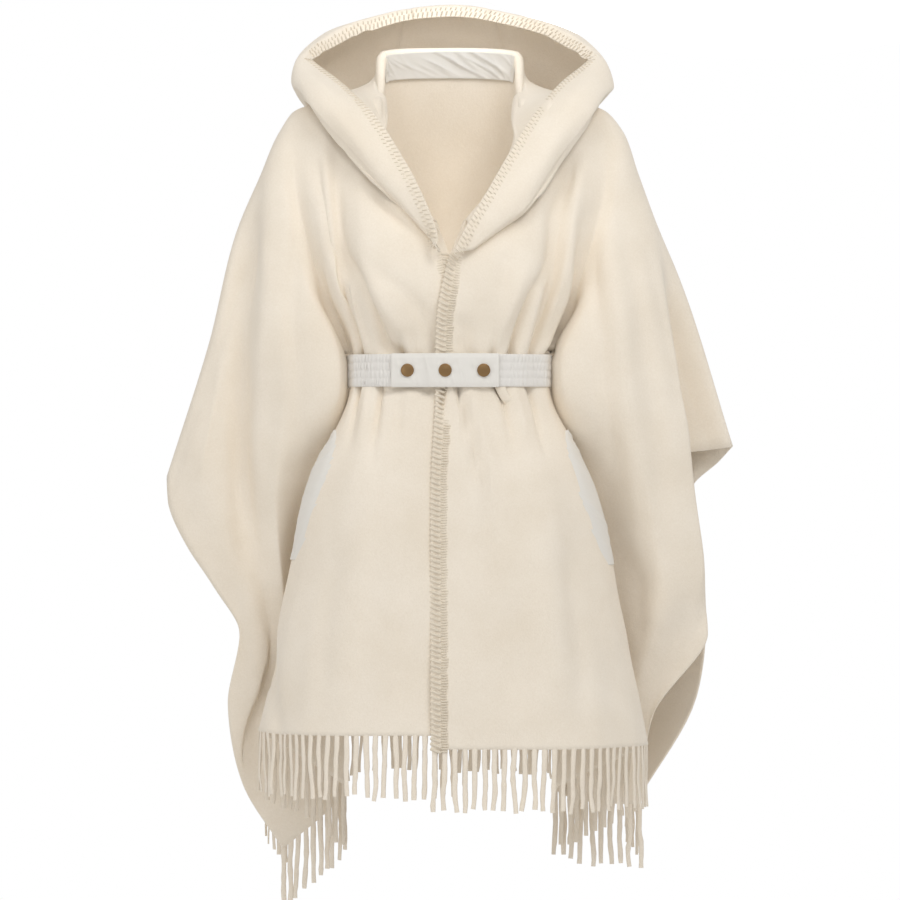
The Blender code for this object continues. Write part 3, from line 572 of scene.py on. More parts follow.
def hood_sheet(fronts, back, middle):
    """The whole hood, from its corner on the right front round the back to that on the left."""
    halves = []
    for side, table in ((-1, RIGHT_HOOD), (1, LEFT_HOOD)):
        half = []
        for name, place, *points in table:
            if place < 0:
                seam = back.at(middle - side * place, 0, HOOD_LIFT)
            else:
                seam = fronts[side].at(place, 0, HOOD_LIFT)
            half.append(np.vstack((seam, sided(points, side))))
        halves.append(half)
    crown = np.vstack((back.at(middle, 0, HOOD_LIFT), HOOD_MIDDLE[2:]))
    folds = halves[0] + [crown] + halves[1][::-1]
    sheet = Sheet(folds, stations(len(folds) - 1, 10), stations(len(crown) - 1, 11, fine_end=14))
    turned = [neck_line(sheet.across, fronts, back, middle, *place) for place in ALLOWANCE]
    sheet.points[:, 0] = neck_line(sheet.across, fronts, back, middle, 0.0, HOOD_LIFT)
    sheet.points = np.concatenate((np.array(turned).transpose(1, 0, 2), sheet.points), axis=1)
    sheet.down = np.concatenate((np.linspace(-0.6, -0.1, len(ALLOWANCE)), sheet.down))
    sheet.normals = sheet.slopes()
    return sheet


def neck_line(across, fronts, back, middle, below, out):
    """A line along the neck's edge, a little below it and out from it, for the folds of the hood."""
    crown = len(RIGHT_HOOD)
    line = []
    for fold in across:
        side = -1 if fold <= crown else 1
        step = min(fold, 2 * crown - fold)
        if step <= 4:
            sheet, place = fronts[side], np.interp(step, range(5), (0, 1, 2, 2.5, 3))
        else:
            sheet, place = back, middle + side * np.interp(step, (4, 5, 6, 7), (2, 1.5, 1, 0))
        down = unit(sheet.at(place, 0.12) - sheet.at(place, 0))
        line.append(sheet.at(place, 0, out) + down * below)
    line = np.array(line)
    for _ in range(3):
        line[1:-1] = (line[:-2] + 2 * line[1:-1] + line[2:]) / 4
    return line


def lay_lapels(hood, fronts):
    """Lays the low ends of the hood's roll flush on the fronts, so that no flap's edge shows there."""
    last = hood.across[-1]
    for i, fold in enumerate(hood.across):
        side = -1 if fold < last / 2 else 1
        step = min(fold, last - fold)
        if step > 1.3:
            continue
        share = rise(step, LAPEL_FLUSH[side] + 0.4, LAPEL_FLUSH[side]) * rise(hood.down, 3.5, 2.4)
        share = share * rise(hood.down, 0.2, 0.9)
        for j in np.flatnonzero(share > 0.01):
            x, y, z = hood.points[i, j]
            under = fronts[side].in_front(x, z)[1] + 0.9
            hood.points[i, j, 1] += share[j] * max(0.0, under - y)
    hood.normals = hood.slopes()


def put(name, data):
    """An object of that data, in the scene."""
    added = bpy.data.objects.new(name, data)
    bpy.context.scene.collection.objects.link(added)
    return added


def link(name, points, faces, finish, uv=None):
    """A mesh object from points in millimetres, faces and a finish."""
    mesh = bpy.data.meshes.new(name)
    mesh.from_pydata((np.asarray(points) * MM).tolist(), [], faces)
    mesh.shade_smooth()
    mesh.materials.append(finish)
    if uv is not None:
        corner = np.empty(len(mesh.loops), np.int32)
        mesh.loops.foreach_get("vertex_index", corner)
        layer = mesh.uv_layers.new(name="cloth")
        layer.data.foreach_set("uv", (np.asarray(uv) * MM)[corner].astype(np.float32).ravel())
    return put(name, mesh)


def cloth_wall(name, points, normals, thickness, finish, sign=1.0, closed=False):
    """A wall of cloth along a grid of points, with round edges, or closed round on itself."""
    rows, columns = points.shape[:2]
    half = thickness / 2
    across = along(np.linalg.norm(np.diff(points, axis=0), axis=2).mean(axis=1))
    down = along(np.linalg.norm(np.diff(points, axis=1), axis=2).mean(axis=0))
    uv = np.stack(np.meshgrid(across, down, indexing="ij"), axis=2).reshape(-1, 2)
    outer = np.arange(rows * columns).reshape(rows, columns)
    inner = outer + outer.size
    if closed:
        outer, inner = np.vstack((outer, outer[:1])), np.vstack((inner, inner[:1]))
        rims = [outer[:, 0], outer[::-1, -1]]
    else:
        rims = [np.concatenate((outer[:-1, 0], outer[-1, :-1], outer[:0:-1, -1], outer[0, ::-1]))]
    quads = [outer[:-1, :-1], outer[1:, :-1], outer[1:, 1:], outer[:-1, 1:]]
    faces = [np.stack(quads, axis=-1).reshape(-1, 4)]
    faces.append(faces[0][:, ::-1] + rows * columns)
    inward = np.zeros_like(points)
    inward[:, 0] += unit(points[:, 1] - points[:, 0])
    inward[:, -1] += unit(points[:, -2] - points[:, -1])
    if not closed:
        inward[0] += unit(points[1] - points[0])
        inward[-1] += unit(points[-2] - points[-1])
    flat = points.reshape(-1, 3)
    lifted = normals.reshape(-1, 3) * half
    every = [flat + lifted, flat - lifted]
    maps = [uv, uv]
    count = 2 * len(flat)
    for rim in rims:
        edge = rim[:-1]
        turned = count + np.arange(len(edge))
        following = np.roll(turned, -1)
        ahead = np.roll(edge, -1)
        every.append(flat[edge] - unit(inward.reshape(-1, 3)[edge]) * half * 0.8)
        maps.append(uv[edge])
        count += len(edge)
        faces.append(np.stack((ahead, edge, turned, following), axis=-1))
        faces.append(np.stack((following, turned, edge + len(flat), ahead + len(flat)), axis=-1))
    faces = np.vstack(faces)
    if sign < 0:
        faces = faces[:, ::-1]
    return link(name, np.vstack(every), faces.tolist(), finish, np.vstack(maps))


def cut(piece, low, high):
    """Cuts a box out of a piece, for the belt's slit."""
    mesh = bpy.data.meshes.new("slit")
    shape = bmesh.new()
    bmesh.ops.create_cube(shape, size=1)
    bmesh.ops.scale(shape, vec=(np.array(high) - low) * MM, verts=shape.verts)
    bmesh.ops.translate(shape, vec=(np.array(high) + low) / 2 * MM, verts=shape.verts)
    shape.to_mesh(mesh)
    shape.free()
    cutter = put("slit", mesh)
    slit = piece.modifiers.new("slit", "BOOLEAN")
    slit.operation = "DIFFERENCE"
    slit.solver = "MANIFOLD"
    slit.object = cutter
    settled = bpy.context.evaluated_depsgraph_get()
    whole = bpy.data.meshes.new_from_object(piece.evaluated_get(settled), depsgraph=settled)
    piece.modifiers.remove(slit)
    piece.data = whole
    whole.name = piece.name
    bpy.data.objects.remove(cutter)


class Value:
    """What a node's socket gives, so that sums on it can be written as on paper."""

    def __init__(self, graph, socket):
        self.graph = graph
        self.socket = socket

    def _sum(self, operation, first, second):
        return self.graph.node("ShaderNodeMath", {"operation": operation}, {0: first, 1: second})

    def __add__(self, other):
        return self._sum("ADD", self, other)

    def __radd__(self, other):
        return self._sum("ADD", other, self)

    def __sub__(self, other):
        return self._sum("SUBTRACT", self, other)

    def __rsub__(self, other):
        return self._sum("SUBTRACT", other, self)

    def __mul__(self, other):
        return self._sum("MULTIPLY", self, other)

    def __rmul__(self, other):
        return self._sum("MULTIPLY", other, self)

    def __pow__(self, other):
        return self._sum("POWER", self, other)


class Graph:
    """A tree of nodes, each made by one method."""

    def __init__(self, tree):
        self.tree = tree

    def node(self, kind, settings=None, values=None, output=0):
        """A node with its settings, then the values or links of its sockets."""
        added = self.tree.nodes.new(kind)
        for setting, value in (settings or {}).items():
            setattr(added, setting, value)
        for socket, value in (values or {}).items():
            self.feed(added.inputs[socket], value)
        return Value(self, added.outputs[output])

    def feed(self, socket, value):
        for part in value if isinstance(value, list) else [value]:
            if isinstance(part, Value):
                self.tree.links.new(part.socket, socket)
            else:
                socket.default_value = part


class Finish(Graph):
    """A material, with the values that are the same all over it set on its shader."""

    def __init__(self, name, **constants):
        self.material = bpy.data.materials.new(name)
        self.material.use_nodes = True
        super().__init__(self.material.node_tree)
        self.shader = self.tree.nodes["Principled BSDF"]
        for socket, value in constants.items():
            self.shader.inputs[socket.replace("_", " ")].default_value = value

    def place(self):
        return self.node("ShaderNodeTexCoord", output="Object")

    def cloth(self):
        return self.node("ShaderNodeUVMap", {"uv_map": "cloth"})

    def stretched(self, place, scale):
        return self.node("ShaderNodeMapping", {}, {"Vector": place, "Scale": scale})

    def noise(self, place, scale, detail=3.0, roughness=0.55):
        settings = {"noise_dimensions": "3D"}
        values = {"Vector": place, "Scale": scale, "Detail": detail, "Roughness": roughness}
        return self.node("ShaderNodeTexNoise", settings, values)

    def between(self, value, low, high, start=0.0, end=1.0):
        values = {"Value": value, "From Min": low, "From Max": high, "To Min": start, "To Max": end}
        return self.node("ShaderNodeMapRange", {"clamp": True}, values)

    def colours(self, share, first, second):
        values = {0: share, 6: (*first, 1.0), 7: (*second, 1.0)}
        return self.node("ShaderNodeMix", {"data_type": "RGBA"}, values, 2)

    def paint(self, colour, roughness=None, height=None, depth=0.001):
        self.feed(self.shader.inputs["Base Color"], colour)
        if roughness is not None:
            self.feed(self.shader.inputs["Roughness"], roughness)
        if height is not None:
            bump = self.node("ShaderNodeBump", {}, {"Height": height, "Distance": depth, "Strength": 1.0})
            self.feed(self.shader.inputs["Normal"], bump)
        return self.material


def shade(colour, by):
    return tuple(part * by for part in colour)


def warmer(colour, by):
    return tuple(part * (1 - by * step) for part, step in zip(colour, (0.25, 0.6, 1.2)))


def wool_finish(colour):
    """Thick felt: a fine nap, faint flecks of tone and a soft sheen."""
    finish = Finish("felted_wool", Specular_IOR_Level=0.12, Sheen_Weight=0.22, Sheen_Roughness=0.55)
    place = finish.place()
    cloud = finish.noise(place, 14.0, 2.0)
    fleck = finish.noise(place, 420.0, 3.0)
    nap = finish.noise(finish.stretched(place, (1.0, 1.0, 0.45)), 900.0, 4.0, 0.6)
    pill = finish.noise(place, 160.0, 2.0)
    share = finish.between(cloud * 0.5 + fleck * 0.35 + nap * 0.15, 0.36, 0.64)
    tone = finish.colours(share, warmer(shade(colour, 0.965), 0.05), shade(colour, 1.025))
    rough = finish.between(nap, 0.3, 0.7, 0.86, 0.98)
    return finish.paint(tone, rough, nap * 0.5 + pill * 0.5, 0.0007)


def nylon_finish(colour):
    """Smooth, lightly glossy nylon with a close plain weave."""
    finish = Finish("white_nylon", Specular_IOR_Level=0.45, Sheen_Weight=0.05)
    cloth = finish.cloth()
    warp = finish.node("ShaderNodeTexWave", {"bands_direction": "X"}, {"Vector": cloth, "Scale": 620.0})
    weft = finish.node("ShaderNodeTexWave", {"bands_direction": "Y"}, {"Vector": cloth, "Scale": 620.0})
    crumple = finish.noise(finish.stretched(cloth, (1.0, 2.2, 1.0)), 90.0, 2.0)
    # Painted shade: the colour is 3% darker in the hollows of the crumple bump.
    tone = finish.colours(finish.between(crumple, 0.35, 0.65), shade(colour, 0.97), colour)
    rough = finish.between(crumple, 0.3, 0.7, 0.34, 0.48)
    return finish.paint(tone, rough, crumple * 0.8 + warp * 0.05 + weft * 0.05, 0.0012)


def elastic_finish(colour):
    """Nylon drawn over rubber cords, with fine upright ribs."""
    finish = Finish("belt_elastic", Specular_IOR_Level=0.3, Sheen_Weight=0.08)
    cloth = finish.cloth()
    ribs = finish.noise(finish.stretched(cloth, (1.0, 0.12, 1.0)), 420.0, 2.0)
    # Painted shade: the colour is 7% darker in the grooves between the ribs of the bump.
    tone = finish.colours(finish.between(ribs, 0.32, 0.62), shade(colour, 0.93), colour)
    return finish.paint(tone, finish.between(ribs, 0.3, 0.7, 0.62, 0.5), ribs, 0.0009)


def thread_finish(colour):
    """Soft wool yarn, a little darker than the cloth that it binds."""
    finish = Finish("binding_yarn", Specular_IOR_Level=0.15, Sheen_Weight=0.25, Sheen_Roughness=0.5)
    place = finish.place()
    fibre = finish.noise(place, 1400.0, 3.0)
    cloud = finish.noise(place, 120.0, 1.0)
    # Partly painted shade: the colour is darker where the fibre bump sinks, mixed with a random cloud of
    # tone.
    share = finish.between(fibre * 0.6 + cloud * 0.4, 0.35, 0.65)
    tone = finish.colours(share, shade(colour, 0.92), colour)
    return finish.paint(tone, finish.between(fibre, 0.3, 0.7, 0.8, 0.95), fibre, 0.0006)


def brass_finish(colour):
    """Aged brass: brown in its hollows, rubbed bright where it stands out."""
    finish = Finish("antique_brass", Metallic=1.0)
    place = finish.place()
    patina = finish.noise(place, 260.0, 4.0)
    scratch = finish.noise(finish.stretched(place, (1.0, 1.0, 6.0)), 700.0, 2.0)
    tone = finish.colours(finish.between(patina, 0.35, 0.65), shade(colour, 0.55), shade(colour, 1.2))
    rough = finish.between(patina * 0.7 + scratch * 0.3, 0.3, 0.7, 0.3, 0.5)
    return finish.paint(tone, rough, scratch * 0.4 + patina * 0.6, 0.0003)


FINISHES = {"wool": ("felted_wool", wool_finish), "nylon": ("white_nylon", nylon_finish),
            "elastic": ("belt_elastic", elastic_finish), "yarn": ("binding_yarn", thread_finish),
            "brass": ("antique_brass", brass_finish)}


def finish_of(part):
    """The material of a part of the cape, made in its colour the first time it is asked for."""
    name, maker = FINISHES[part]
    return bpy.data.materials.get(name) or maker(tuple(getattr(bpy.context.scene.cape_colours, part)))


class Tree(Graph):
    """Geometry nodes with named inputs."""

    def __init__(self, name, **inputs):
        super().__init__(bpy.data.node_groups.new(name, "GeometryNodeTree"))
        face = self.tree.interface
        for way in ("OUTPUT", "INPUT"):
            face.new_socket("Geometry", in_out=way, socket_type="NodeSocketGeometry")
        self.keys = {}
        for label, kind in inputs.items():
            label = label.replace("_", " ")
            added = face.new_socket(label, in_out="INPUT", socket_type="NodeSocket" + kind)
            self.keys[label] = added.identifier
        self.start = self.tree.nodes.new("NodeGroupInput")
        self.end = self.tree.nodes.new("NodeGroupOutput")

    def __getitem__(self, label):
        return Value(self, self.start.outputs[label])

    def random(self, low, high, seed):
        limits = {"Min": low, "Max": high, "Seed": seed}
        return self.node("FunctionNodeRandomValue", {"data_type": "FLOAT"}, limits, 1)

    def copies(self, points, piece, turn, size):
        """The piece again at each of the points."""
        values = {"Points": points, "Instance": piece, "Rotation": turn, "Scale": size}
        return self.node("GeometryNodeInstanceOnPoints", None, values)

    def spaced(self):
        """The guide's lines as points at even steps."""
        line = self.node("GeometryNodeMeshToCurve", None, {"Mesh": self["Geometry"]})
        values = {"Curve": line, "Length": self["Pitch"]}
        return self.node("GeometryNodeResampleCurve", {"mode": "LENGTH"}, values)

    def vector(self, x, y, z):
        return self.node("ShaderNodeCombineXYZ", None, {"X": x, "Y": y, "Z": z})

    def outward(self):
        settings = {"data_type": "FLOAT_VECTOR"}
        return self.node("GeometryNodeInputNamedAttribute", settings, {"Name": "outward"})

    def close(self, geometry):
        """Ends the tree with plain geometry in its material."""
        real = self.node("GeometryNodeRealizeInstances", None, {"Geometry": geometry})
        smooth = self.node("GeometryNodeSetShadeSmooth", None, {"Geometry": real})
        dressed = self.node("GeometryNodeSetMaterial", None,
                            {"Geometry": smooth, "Material": self["Material"]})
        self.feed(self.end.inputs["Geometry"], dressed)

    def grow(self, name, guide, **values):
        """The plain mesh that the tree makes on a guide, which it takes the place of."""
        modifier = guide.modifiers.new(name, "NODES")
        modifier.node_group = self.tree
        for label, value in values.items():
            modifier[self.keys[label.replace("_", " ")]] = value
        settled = bpy.context.evaluated_depsgraph_get()
        mesh = bpy.data.meshes.new_from_object(guide.evaluated_get(settled), depsgraph=settled)
        guide.modifiers.remove(modifier)
        guide.data = mesh
        guide.name = mesh.name = name
        return guide


def rail(name, line, outward):
    """A guide along a line, with the way out of the cloth at each of its points."""
    mesh = bpy.data.meshes.new(name)
    mesh.from_pydata((line * MM).tolist(), [(i, i + 1) for i in range(len(line) - 1)], [])
    attribute = mesh.attributes.new("outward", "FLOAT_VECTOR", "POINT")
    attribute.data.foreach_set("vector", outward.astype(np.float32).ravel())
    return put(name, mesh)


def stitch_tree(name, legs):
    """A stitch of a few legs of yarn, again and again along an edge."""
    ends = {"Leg_%d_%s" % (leg, part): "Vector" for leg in range(legs) for part in ("Start", "Bow", "End")}
    sizes = {"Leg_%d_Size" % leg: "Float" for leg in range(legs)}
    tree = Tree(name, Pitch="Float", Yarn="Float", Unevenness="Float", Seed="Int", Material="Material",
                **ends, **sizes)
    circle = {"Resolution": 6, "Radius": tree["Yarn"]}
    profile = tree.node("GeometryNodeCurvePrimitiveCircle", {"mode": "RADIUS"}, circle)
    bars = []
    for leg in range(legs):
        label = "Leg %d " % leg
        bend = {"Resolution": 7, "Start": tree[label + "Start"], "Middle": tree[label + "Bow"],
                "End": tree[label + "End"]}
        bow = tree.node("GeometryNodeCurveQuadraticBezier", None, bend)
        bars.append(tree.node("GeometryNodeCurveToMesh", None, {
            "Curve": bow, "Profile Curve": profile, "Scale": tree[label + "Size"], "Fill Caps": True}))
    pair = tree.node("GeometryNodeJoinGeometry", None, {"Geometry": bars})
    ahead = tree.node("GeometryNodeInputTangent")
    turn = tree.node("FunctionNodeAxesToRotation", {"primary_axis": "X", "secondary_axis": "Z"},
                     {"Primary Axis": ahead, "Secondary Axis": tree.outward()})
    size = tree.random(1.0 - tree["Unevenness"], 1.0 + tree["Unevenness"], tree["Seed"])
    tree.close(tree.copies(tree.spaced(), pair, turn, size))
    return tree


def fringe_tree():
    """Strands of cut cloth that hang from a hem, no two quite alike."""
    tree = Tree("fringe", Pitch="Float", Width="Float", Thickness="Float", Length="Float", Sway="Float",
                Lean="Float", Seed="Int", Material="Material")
    ring = tree.node("GeometryNodeCurvePrimitiveCircle", {"mode": "RADIUS"},
                     {"Resolution": 8, "Radius": 0.5})
    oval = tree.vector(tree["Thickness"], tree["Width"], 1.0)
    profile = tree.node("GeometryNodeTransform", None, {"Geometry": ring, "Scale": oval})
    drop = tree.node("GeometryNodeCurvePrimitiveLine", {"mode": "POINTS"},
                     {"Start": (0, 0, 0), "End": (0, 0, -1)})
    fine = tree.node("GeometryNodeResampleCurve", {"mode": "COUNT"}, {"Curve": drop, "Count": 11})
    lean = tree["Lean"]
    back = lean * -1.0
    low = tree.vector(back, back, 0.0)
    high = tree.vector(lean, lean, 0.0)
    turn = tree.node("FunctionNodeRandomValue", {"data_type": "FLOAT_VECTOR"},
                     {"Min": low, "Max": high, "Seed": tree["Seed"]})
    reach = tree.random(0.94, 1.03, tree["Seed"] + 1.0) * tree["Length"]
    placed = tree.copies(tree.spaced(), fine, turn, tree.vector(1.0, 1.0, reach))
    strands = tree.node("GeometryNodeRealizeInstances", None, {"Geometry": placed})
    down = tree.node("GeometryNodeSplineParameter")
    place = tree.node("GeometryNodeInputPosition")
    squeezed = tree.node("ShaderNodeVectorMath", {"operation": "MULTIPLY"}, {0: place, 1: (1.0, 1.0, 0.3)})
    noise = tree.node("ShaderNodeTexNoise", {"noise_dimensions": "3D"},
                      {"Vector": squeezed, "Scale": 60.0, "Detail": 1.0}, "Color")
    centred = tree.node("ShaderNodeVectorMath", {"operation": "SUBTRACT"}, {0: noise, 1: (0.5, 0.5, 0.5)})
    amount = down**0.7 * tree["Sway"]
    offset = tree.node("ShaderNodeVectorMath", {"operation": "SCALE"}, {0: centred, "Scale": amount})
    swayed = tree.node("GeometryNodeSetPosition", None, {"Geometry": strands, "Offset": offset})
    facing = tree.node("GeometryNodeSetCurveNormal", {"mode": "FREE"},
                       {"Curve": swayed, "Normal": tree.outward()})
    taper = tree.node("ShaderNodeMapRange", None, {"Value": down, "To Min": 1.04, "To Max": 0.92})
    radius = tree.random(0.84, 1.1, tree["Seed"] + 2.0) * taper
    sized = tree.node("GeometryNodeSetCurveRadius", None, {"Curve": facing, "Radius": radius})
    solid = tree.node("GeometryNodeCurveToMesh", None,
                      {"Curve": sized, "Profile Curve": profile, "Scale": radius, "Fill Caps": True})
    tree.close(solid)
    return tree


def length(label, description, default, low, high):
    return FloatProperty(name=label, description=description, default=default, min=low, max=high,
                         unit="LENGTH")


def tint(label, description, default):
    return FloatVectorProperty(name=label, description=description, subtype="COLOR", default=default,
                               min=0.0, max=1.0)


class CapeSizes(bpy.types.PropertyGroup):
    """Sizes that a maker would change."""

    wool: length("Wool", "Thickness of the felted wool", 0.0024, 0.001, 0.004)
    nylon: length("Nylon", "Thickness of the nylon trims", 0.0009, 0.0004, 0.002)
    facing_gap: length("Facing gap", "Space between a panel and the nylon on it", 0.0006, 0.0003, 0.003)
    neck_gap: length("Neck gap", "From the back panel to the neck facing inside it", 0.0045, 0.003, 0.008)
    crease: FloatProperty(name="Creases", description="How deep the creases are, as a share of the table's",
                          default=1.22, min=0.0, max=2.0, subtype="FACTOR")
    unevenness: length("Unevenness", "Height of the cloth's slow waves", 0.0014, 0.0, 0.004)
    stitch_pitch: length("Stitch pitch", "From one stitch of a front edge to the next", 0.0064, 0.003, 0.02)
    rim_pitch: length("Rim stitch pitch", "From one stitch of the rim to the next", 0.0060, 0.003, 0.02)
    yarn: length("Yarn", "Thickness of the binding yarn", 0.0026, 0.001, 0.005)
    strand_pitch: length("Strand pitch", "From one strand of the fringe to the next", 0.0120, 0.006, 0.03)
    strand_width: length("Strand width", "Width of a strand", 0.0066, 0.002, 0.01)
    strand_length: length("Strand length", "Length of a strand", 0.079, 0.02, 0.15)
    belt_height: length("Belt height", "Height of the elastic belt", 0.039, 0.02, 0.06)
    belt_thick: length("Belt thickness", "Thickness of the elastic belt", 0.0026, 0.001, 0.004)
    belt_channels: IntProperty(name="Belt channels", description="Rows of elastic sewn into the belt",
                               default=4, min=1, max=9)
    tab_height: length("Tab height", "Height of the belt's overlap tab", 0.0405, 0.02, 0.06)
    snap_radius: length("Snap radius", "Radius of a snap's cap", 0.0080, 0.004, 0.012)


class CapeColours(bpy.types.PropertyGroup):
    """Colours of the cloth and the trims."""

    wool: tint("Wool", "Colour of the felted wool", (0.90, 0.815, 0.693))
    nylon: tint("Nylon", "Colour of the facings and the tab", (0.93, 0.90, 0.855))
    elastic: tint("Elastic", "Colour of the belt", (0.92, 0.885, 0.84))
    yarn: tint("Yarn", "Colour of the binding yarn", (0.86, 0.765, 0.62))
    brass: tint("Brass", "Colour of the snaps", (0.175, 0.105, 0.043))


class Cape:
    """The cloth that the operators share, worked out once from the tables."""

    sheets = {}

    @classmethod
    def shape(cls, sizes):
        if cls.sheets:
            return cls.sheets
        fronts = {-1: front_sheet(RIGHT_WING, -1), 1: front_sheet(LEFT_WING, 1)}
        back, middle = back_sheet()
        hood = hood_sheet(fronts, back, middle)
        for side, creases in ((-1, RIGHT_CREASES), (1, LEFT_CREASES)):
            fronts[side].wave(sizes.unevenness / MM, 3 + side)
            fronts[side].press(creases, fronts[side].in_front, sizes.crease)
        back.wave(sizes.unevenness / MM, 7)
        back.press(BACK_CREASES, back.at, sizes.crease)
        hood.wave(sizes.unevenness / MM * 0.6, 9)
        hood.press(HOOD_CREASES, hood.at, sizes.crease)
        step = np.minimum(hood.across, hood.across[-1] - hood.across)
        hood.roll(rise(step, 3.2, 4.6), *RIM_ROLL)
        lay_lapels(hood, fronts)
        cls.sheets.update({"right": fronts[-1], "left": fronts[1], "back": back, "hood": hood,
                           "middle": middle})
        return cls.sheets


def seat(piece, slot, *nodes):
    """Puts a finished piece on the body, in the place of the solids that it stands for."""
    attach(piece, BODY)
    if nodes:
        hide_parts(*nodes)
    return piece


def patch(sheet, places, lift, across=12, down=60):
    """A grid of points on a sheet, moved out: each row of places is a level and the folds across it."""
    table = np.array(places, float)
    lines = smooth_line(table, np.linspace(0, len(table) - 1, down))
    grid = []
    for level, *folds in lines:
        spread = np.interp(np.linspace(0, 1, across), np.linspace(0, 1, len(folds)), folds)
        grid.append([sheet.at(fold, level, lift) for fold in spread])
    return np.array(grid).transpose(1, 0, 2)


def grid_normals(points, like):
    crossed = unit(np.cross(np.gradient(points, axis=0), np.gradient(points, axis=1)))
    sign = np.sign((crossed * like).sum())
    return crossed * sign, sign


def raised(points, heights):
    """A grid that faces forward, with each of its points moved out by its own height."""
    return points + grid_normals(points, FORWARD)[0] * heights[..., None]


def wool_panel(name, points, normals, sign):
    """A wall of felted wool along a grid of points."""
    thickness = bpy.context.scene.cape_sizes.wool / MM
    return cloth_wall(name, points, normals, thickness, finish_of("wool"), sign)


def sew(name, points, like, thickness, part, slot, *nodes, closed=False):
    """A wall of cloth on a grid of points, in the place of the solids that it stands for."""
    normals, sign = grid_normals(points, like)
    piece = cloth_wall(name, points, normals, thickness, finish_of(part), sign, closed)
    return seat(piece, slot, *nodes)


def puckers(rows, columns, height, seed, slant, count):
    """Short slanting wrinkles, as in thin nylon that is sewn to thicker cloth."""
    rng = np.random.default_rng(seed)
    u, v = np.meshgrid(np.linspace(0, 1, rows), np.linspace(0, 1, columns), indexing="ij")
    raised = np.zeros_like(u)
    for _ in range(count):
        along, wide = rng.uniform(0, 1), rng.uniform(0.008, 0.02)
        lean = rng.uniform(0.4, 1.4) * slant * 0.12
        middle, reach = rng.uniform(0.2, 0.8), rng.uniform(0.25, 0.6)
        off = (v - along - lean * (u - 0.5)) / wide
        raised += rng.uniform(0.5, 1.0) * np.exp(-off**2) * np.exp(-(((u - middle) / reach) ** 2))
    return raised * height


class CAPE_OT_fronts(bpy.types.Operator):
    """Make the two front panels, with the slits for the belt"""

    bl_idname = "cape.fronts"
    bl_label = "Fronts"

    def execute(self, context):
        shapes = Cape.shape(context.scene.cape_sizes)
        for side, name in ((-1, "right"), (1, "left")):
            sheet = shapes[name]
            panel = wool_panel("wool_front_" + name, sheet.points, sheet.normals, sheet.sign)
            edges = side * SLIT[0], side * SLIT[1]
            cut(panel, (min(edges), SLIT_DEPTHS[0], BELT_MIDDLE - SLIT_HALF),
                (max(edges), SLIT_DEPTHS[1], BELT_MIDDLE + SLIT_HALF))
            seat(panel, "ivory_wool", "front_" + name)
        return {"FINISHED"}


class CAPE_OT_back(bpy.types.Operator):
    """Make the back panel with its two wings"""

    bl_idname = "cape.back"
    bl_label = "Back"

    def execute(self, context):
        sheet = Cape.shape(context.scene.cape_sizes)["back"]
        panel = wool_panel("wool_back", sheet.points, sheet.normals, sheet.sign)
        seat(panel, "ivory_wool", "back_panel")
        return {"FINISHED"}


class CAPE_OT_hood(bpy.types.Operator):
    """Make the hood from its two sides and its centre strip"""

    bl_idname = "cape.hood"
    bl_label = "Hood"

    def execute(self, context):
        sheet = Cape.shape(context.scene.cape_sizes)["hood"]
        first = np.searchsorted(sheet.across, len(RIGHT_HOOD) - 1)
        last = np.searchsorted(sheet.across, len(RIGHT_HOOD) + 1)
        parts = {"right": slice(0, first + 1), "centre": slice(first, last + 1), "left": slice(last, None)}
        for name, part in parts.items():
            points = sheet.points[part].copy()
            normals = sheet.normals[part]
            if name != "left":
                points[-1] += unit(points[-2] - points[-1]) * 0.5 - normals[-1] * 0.5
            if name != "right":
                points[0] += unit(points[1] - points[0]) * 0.5 - normals[0] * 0.5
            panel = wool_panel("wool_hood_" + name, points, normals, sheet.sign)
            seat(panel, "ivory_wool", "hood_" + name)
            bpy.data.collections[HOOD_CLOTH].objects.link(panel)
        return {"FINISHED"}


class CAPE_OT_facings(bpy.types.Operator):
    """Make the nylon facings of the neck and of the two pocket mouths"""

    bl_idname = "cape.facings"
    bl_label = "Facings"

    def execute(self, context):
        sizes = context.scene.cape_sizes
        shapes = Cape.shape(sizes)
        middle = shapes["middle"]
        reach, low = NECK_FACING
        rows = [(level, middle - reach, middle, middle + reach) for level in (0.0, low / 2, low)]
        points = patch(shapes["back"], rows, -sizes.neck_gap / MM, 120, 22)
        ends = rise(np.abs(np.linspace(-1, 1, 120)), 0.9, 1.0)[:, None]
        heights = puckers(22, 120, 2.2, 21, 2.2, 34).T * (1 - ends) - (sizes.neck_gap / MM - 2.0) * ends
        sew("facing_neck", raised(points, heights), FORWARD, sizes.nylon / MM, "nylon", "white_nylon",
            "neck_facing")
        lift = (sizes.wool / 2 + sizes.nylon / 2 + sizes.facing_gap) / MM
        for side, name in ((-1, "right"), (1, "left")):
            rows = [(level, a, (a + 6) / 2, 6, b) for level, a, b in POCKET_FACING]
            points = patch(shapes[name], rows, lift, 22, 130)
            sewn = rise(np.linspace(0, 1, 22), 0.3, 0.0)[:, None] * (lift - 0.4)
            heights = puckers(22, 130, 0.8, 30 + side, 2.6, 22) - sewn
            sew("facing_pocket_" + name, raised(points, heights), FORWARD, sizes.nylon / MM, "nylon",
                "white_nylon", "pocket_facing_" + name)
        return {"FINISHED"}


def belt_front(shapes, lift):
    """The line of the belt over both gathered fronts, from the right slit to the left one."""
    level = WAIST + 0.5
    halves = np.arange(0, len(BODY_FOLDS) - 1.5, 0.5)
    left = [shapes["left"].at(fold, level, lift) for fold in halves]
    right = [shapes["right"].at(fold, level, lift) for fold in halves[::-1]]
    return np.array([point for point in right if point[0] < left[0][0] - 3] + left)


